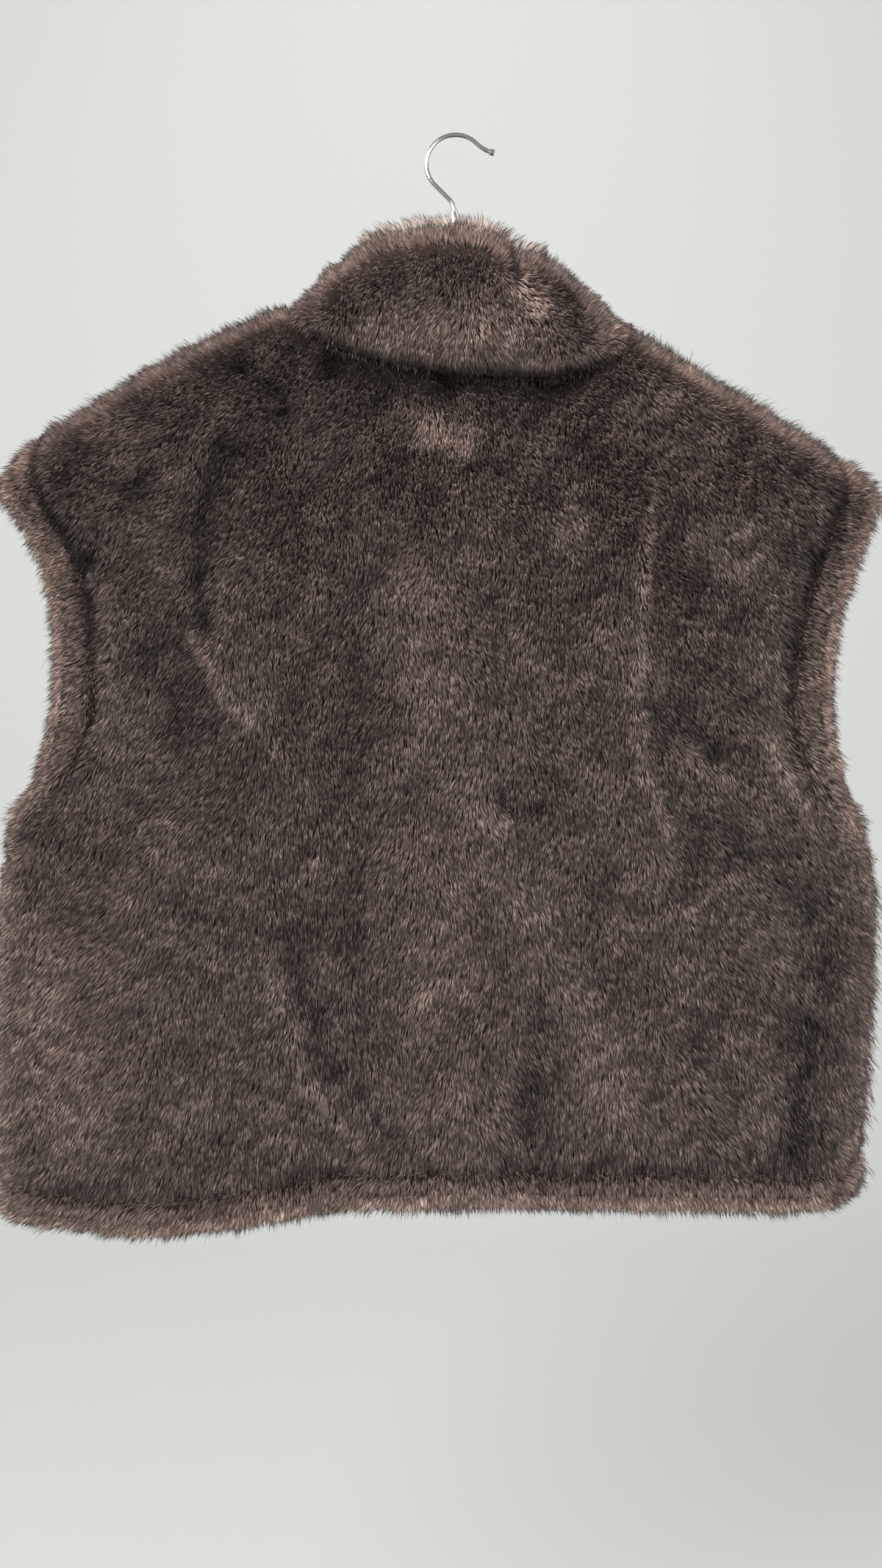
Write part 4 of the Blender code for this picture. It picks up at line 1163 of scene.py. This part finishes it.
class VEST_OT_stage(bpy.types.Operator):
    """Build the pale studio, its soft lights and the camera"""

    bl_idname = "vest.stage"
    bl_label = "Studio"

    def execute(self, context):
        deselect_all()
        scene = context.scene
        add_studio(scene, scene.vest_colours)
        add_lights(scene)
        add_camera(scene)
        return {"FINISHED"}


# The studio: heights of its floor and top, where its wall stands and its floor ends, and the cove between.
FLOOR_Z, STUDIO_TOP, WALL_Y, FLOOR_END, STUDIO_HALF = -1.30, 3.2, 2.4, -4.0, 4.0
COVE_R, COVE_STEPS = 0.9, 12
SKY_COLOUR, SKY_STRENGTH = (0.93, 0.96, 1.0, 1), 0.49


def add_studio(scene, colours):
    """A floor that curves up into a wall, well behind the vest."""
    profile = [(FLOOR_END, FLOOR_Z), (WALL_Y - COVE_R, FLOOR_Z)]
    for step in np.linspace(0, math.pi / 2, COVE_STEPS + 1)[1:]:
        profile.append((WALL_Y - COVE_R + COVE_R * math.sin(step), FLOOR_Z + COVE_R * (1 - math.cos(step))))
    profile.append((WALL_Y, STUDIO_TOP))
    points = [(x, y, z) for x in (-STUDIO_HALF, STUDIO_HALF) for y, z in profile]
    count = len(profile)
    faces = [(k, k + count, k + 1 + count, k + 1) for k in range(count - 1)]
    mesh = bpy.data.meshes.new("studio_sweep")
    mesh.from_pydata(points, [], faces)
    mesh.shade_smooth()
    mesh.materials.append(plain_material("studio paint", colours.wall, 0.9))
    sweep = bpy.data.objects.new("studio_sweep", mesh)
    scene.collection.objects.link(sweep)
    world = bpy.data.worlds.new("studio")
    world.use_nodes = True
    sky = world.node_tree.nodes["Background"]
    sky.inputs["Color"].default_value = SKY_COLOUR
    sky.inputs["Strength"].default_value = SKY_STRENGTH
    scene.world = world
    scene.view_settings.view_transform = "Standard"


VEST_AIM = Vector((0.0, 0.0, -0.42))
WALL_AIM = Vector((0.0, WALL_Y, -0.5))
LIGHTS = [
    # name, place, size, power, colour, what it points at
    ("window_light", (-1.5, -2.0, 1.1), 1.6, 62, (1.0, 0.985, 0.96), VEST_AIM),
    ("fill_light", (1.8, -1.8, 0.2), 2.0, 26, (0.96, 0.98, 1.0), VEST_AIM),
    ("wall_light", (0.0, 0.9, 1.9), 2.4, 8, (1.0, 1.0, 0.97), WALL_AIM),
]


def add_lights(scene):
    for name, place, size, power, colour, aim in LIGHTS:
        lamp = bpy.data.lights.new(name, "AREA")
        lamp.shape = "DISK"
        lamp.size = size
        lamp.energy = power
        lamp.color = colour
        thing = bpy.data.objects.new(name, lamp)
        thing.location = place
        thing.rotation_euler = (aim - thing.location).to_track_quat("-Z", "Y").to_euler()
        scene.collection.objects.link(thing)


# The photo's camera: level, a little left of the hook, and 0.875 m away.
CAMERA_PLACE = (-0.010, -0.875, -0.440)
CAMERA_LENS, CAMERA_SENSOR = 29.54, 36.0


def add_camera(scene):
    camera = bpy.data.cameras.new("photo_view")
    camera.sensor_width = CAMERA_SENSOR
    camera.sensor_fit = "AUTO"
    camera.lens = CAMERA_LENS
    camera.clip_start = 0.01
    thing = bpy.data.objects.new("photo_view", camera)
    thing.location = CAMERA_PLACE
    thing.rotation_euler = (math.radians(90), 0, 0)
    scene.collection.objects.link(thing)
    scene.camera = thing


class VEST_PT_sidebar(bpy.types.Panel):
    """The steps of the vest, in their order"""

    bl_label = "Fur vest"
    bl_space_type = "VIEW_3D"
    bl_region_type = "UI"
    bl_category = "Fur vest"

    def draw(self, context):
        column = self.layout.column()
        for step in STEPS:
            column.operator(step.bl_idname)
        for settings in (context.scene.vest_pile, context.scene.vest_colours):
            for key in settings.__annotations__:
                column.prop(settings, key)


STEPS = (
    VEST_OT_panels,
    VEST_OT_armhole_bands,
    VEST_OT_hem_bands,
    VEST_OT_collar,
    VEST_OT_hanger,
    VEST_OT_stage,
)
CLASSES = (VestPile, VestColours, *STEPS, VEST_PT_sidebar)


def register():
    for known in CLASSES:
        bpy.utils.register_class(known)
    bpy.types.Scene.vest_pile = bpy.props.PointerProperty(type=VestPile)
    bpy.types.Scene.vest_colours = bpy.props.PointerProperty(type=VestColours)


def unregister():
    del bpy.types.Scene.vest_pile
    del bpy.types.Scene.vest_colours
    for known in reversed(CLASSES):
        bpy.utils.unregister_class(known)


def main():
    register()
    bpy.ops.vest.panels()
    bpy.ops.vest.armhole_bands()
    bpy.ops.vest.hem_bands()
    bpy.ops.vest.collar()
    bpy.ops.vest.hanger()
    bpy.ops.vest.stage()


if __name__ == "__main__":
    main()
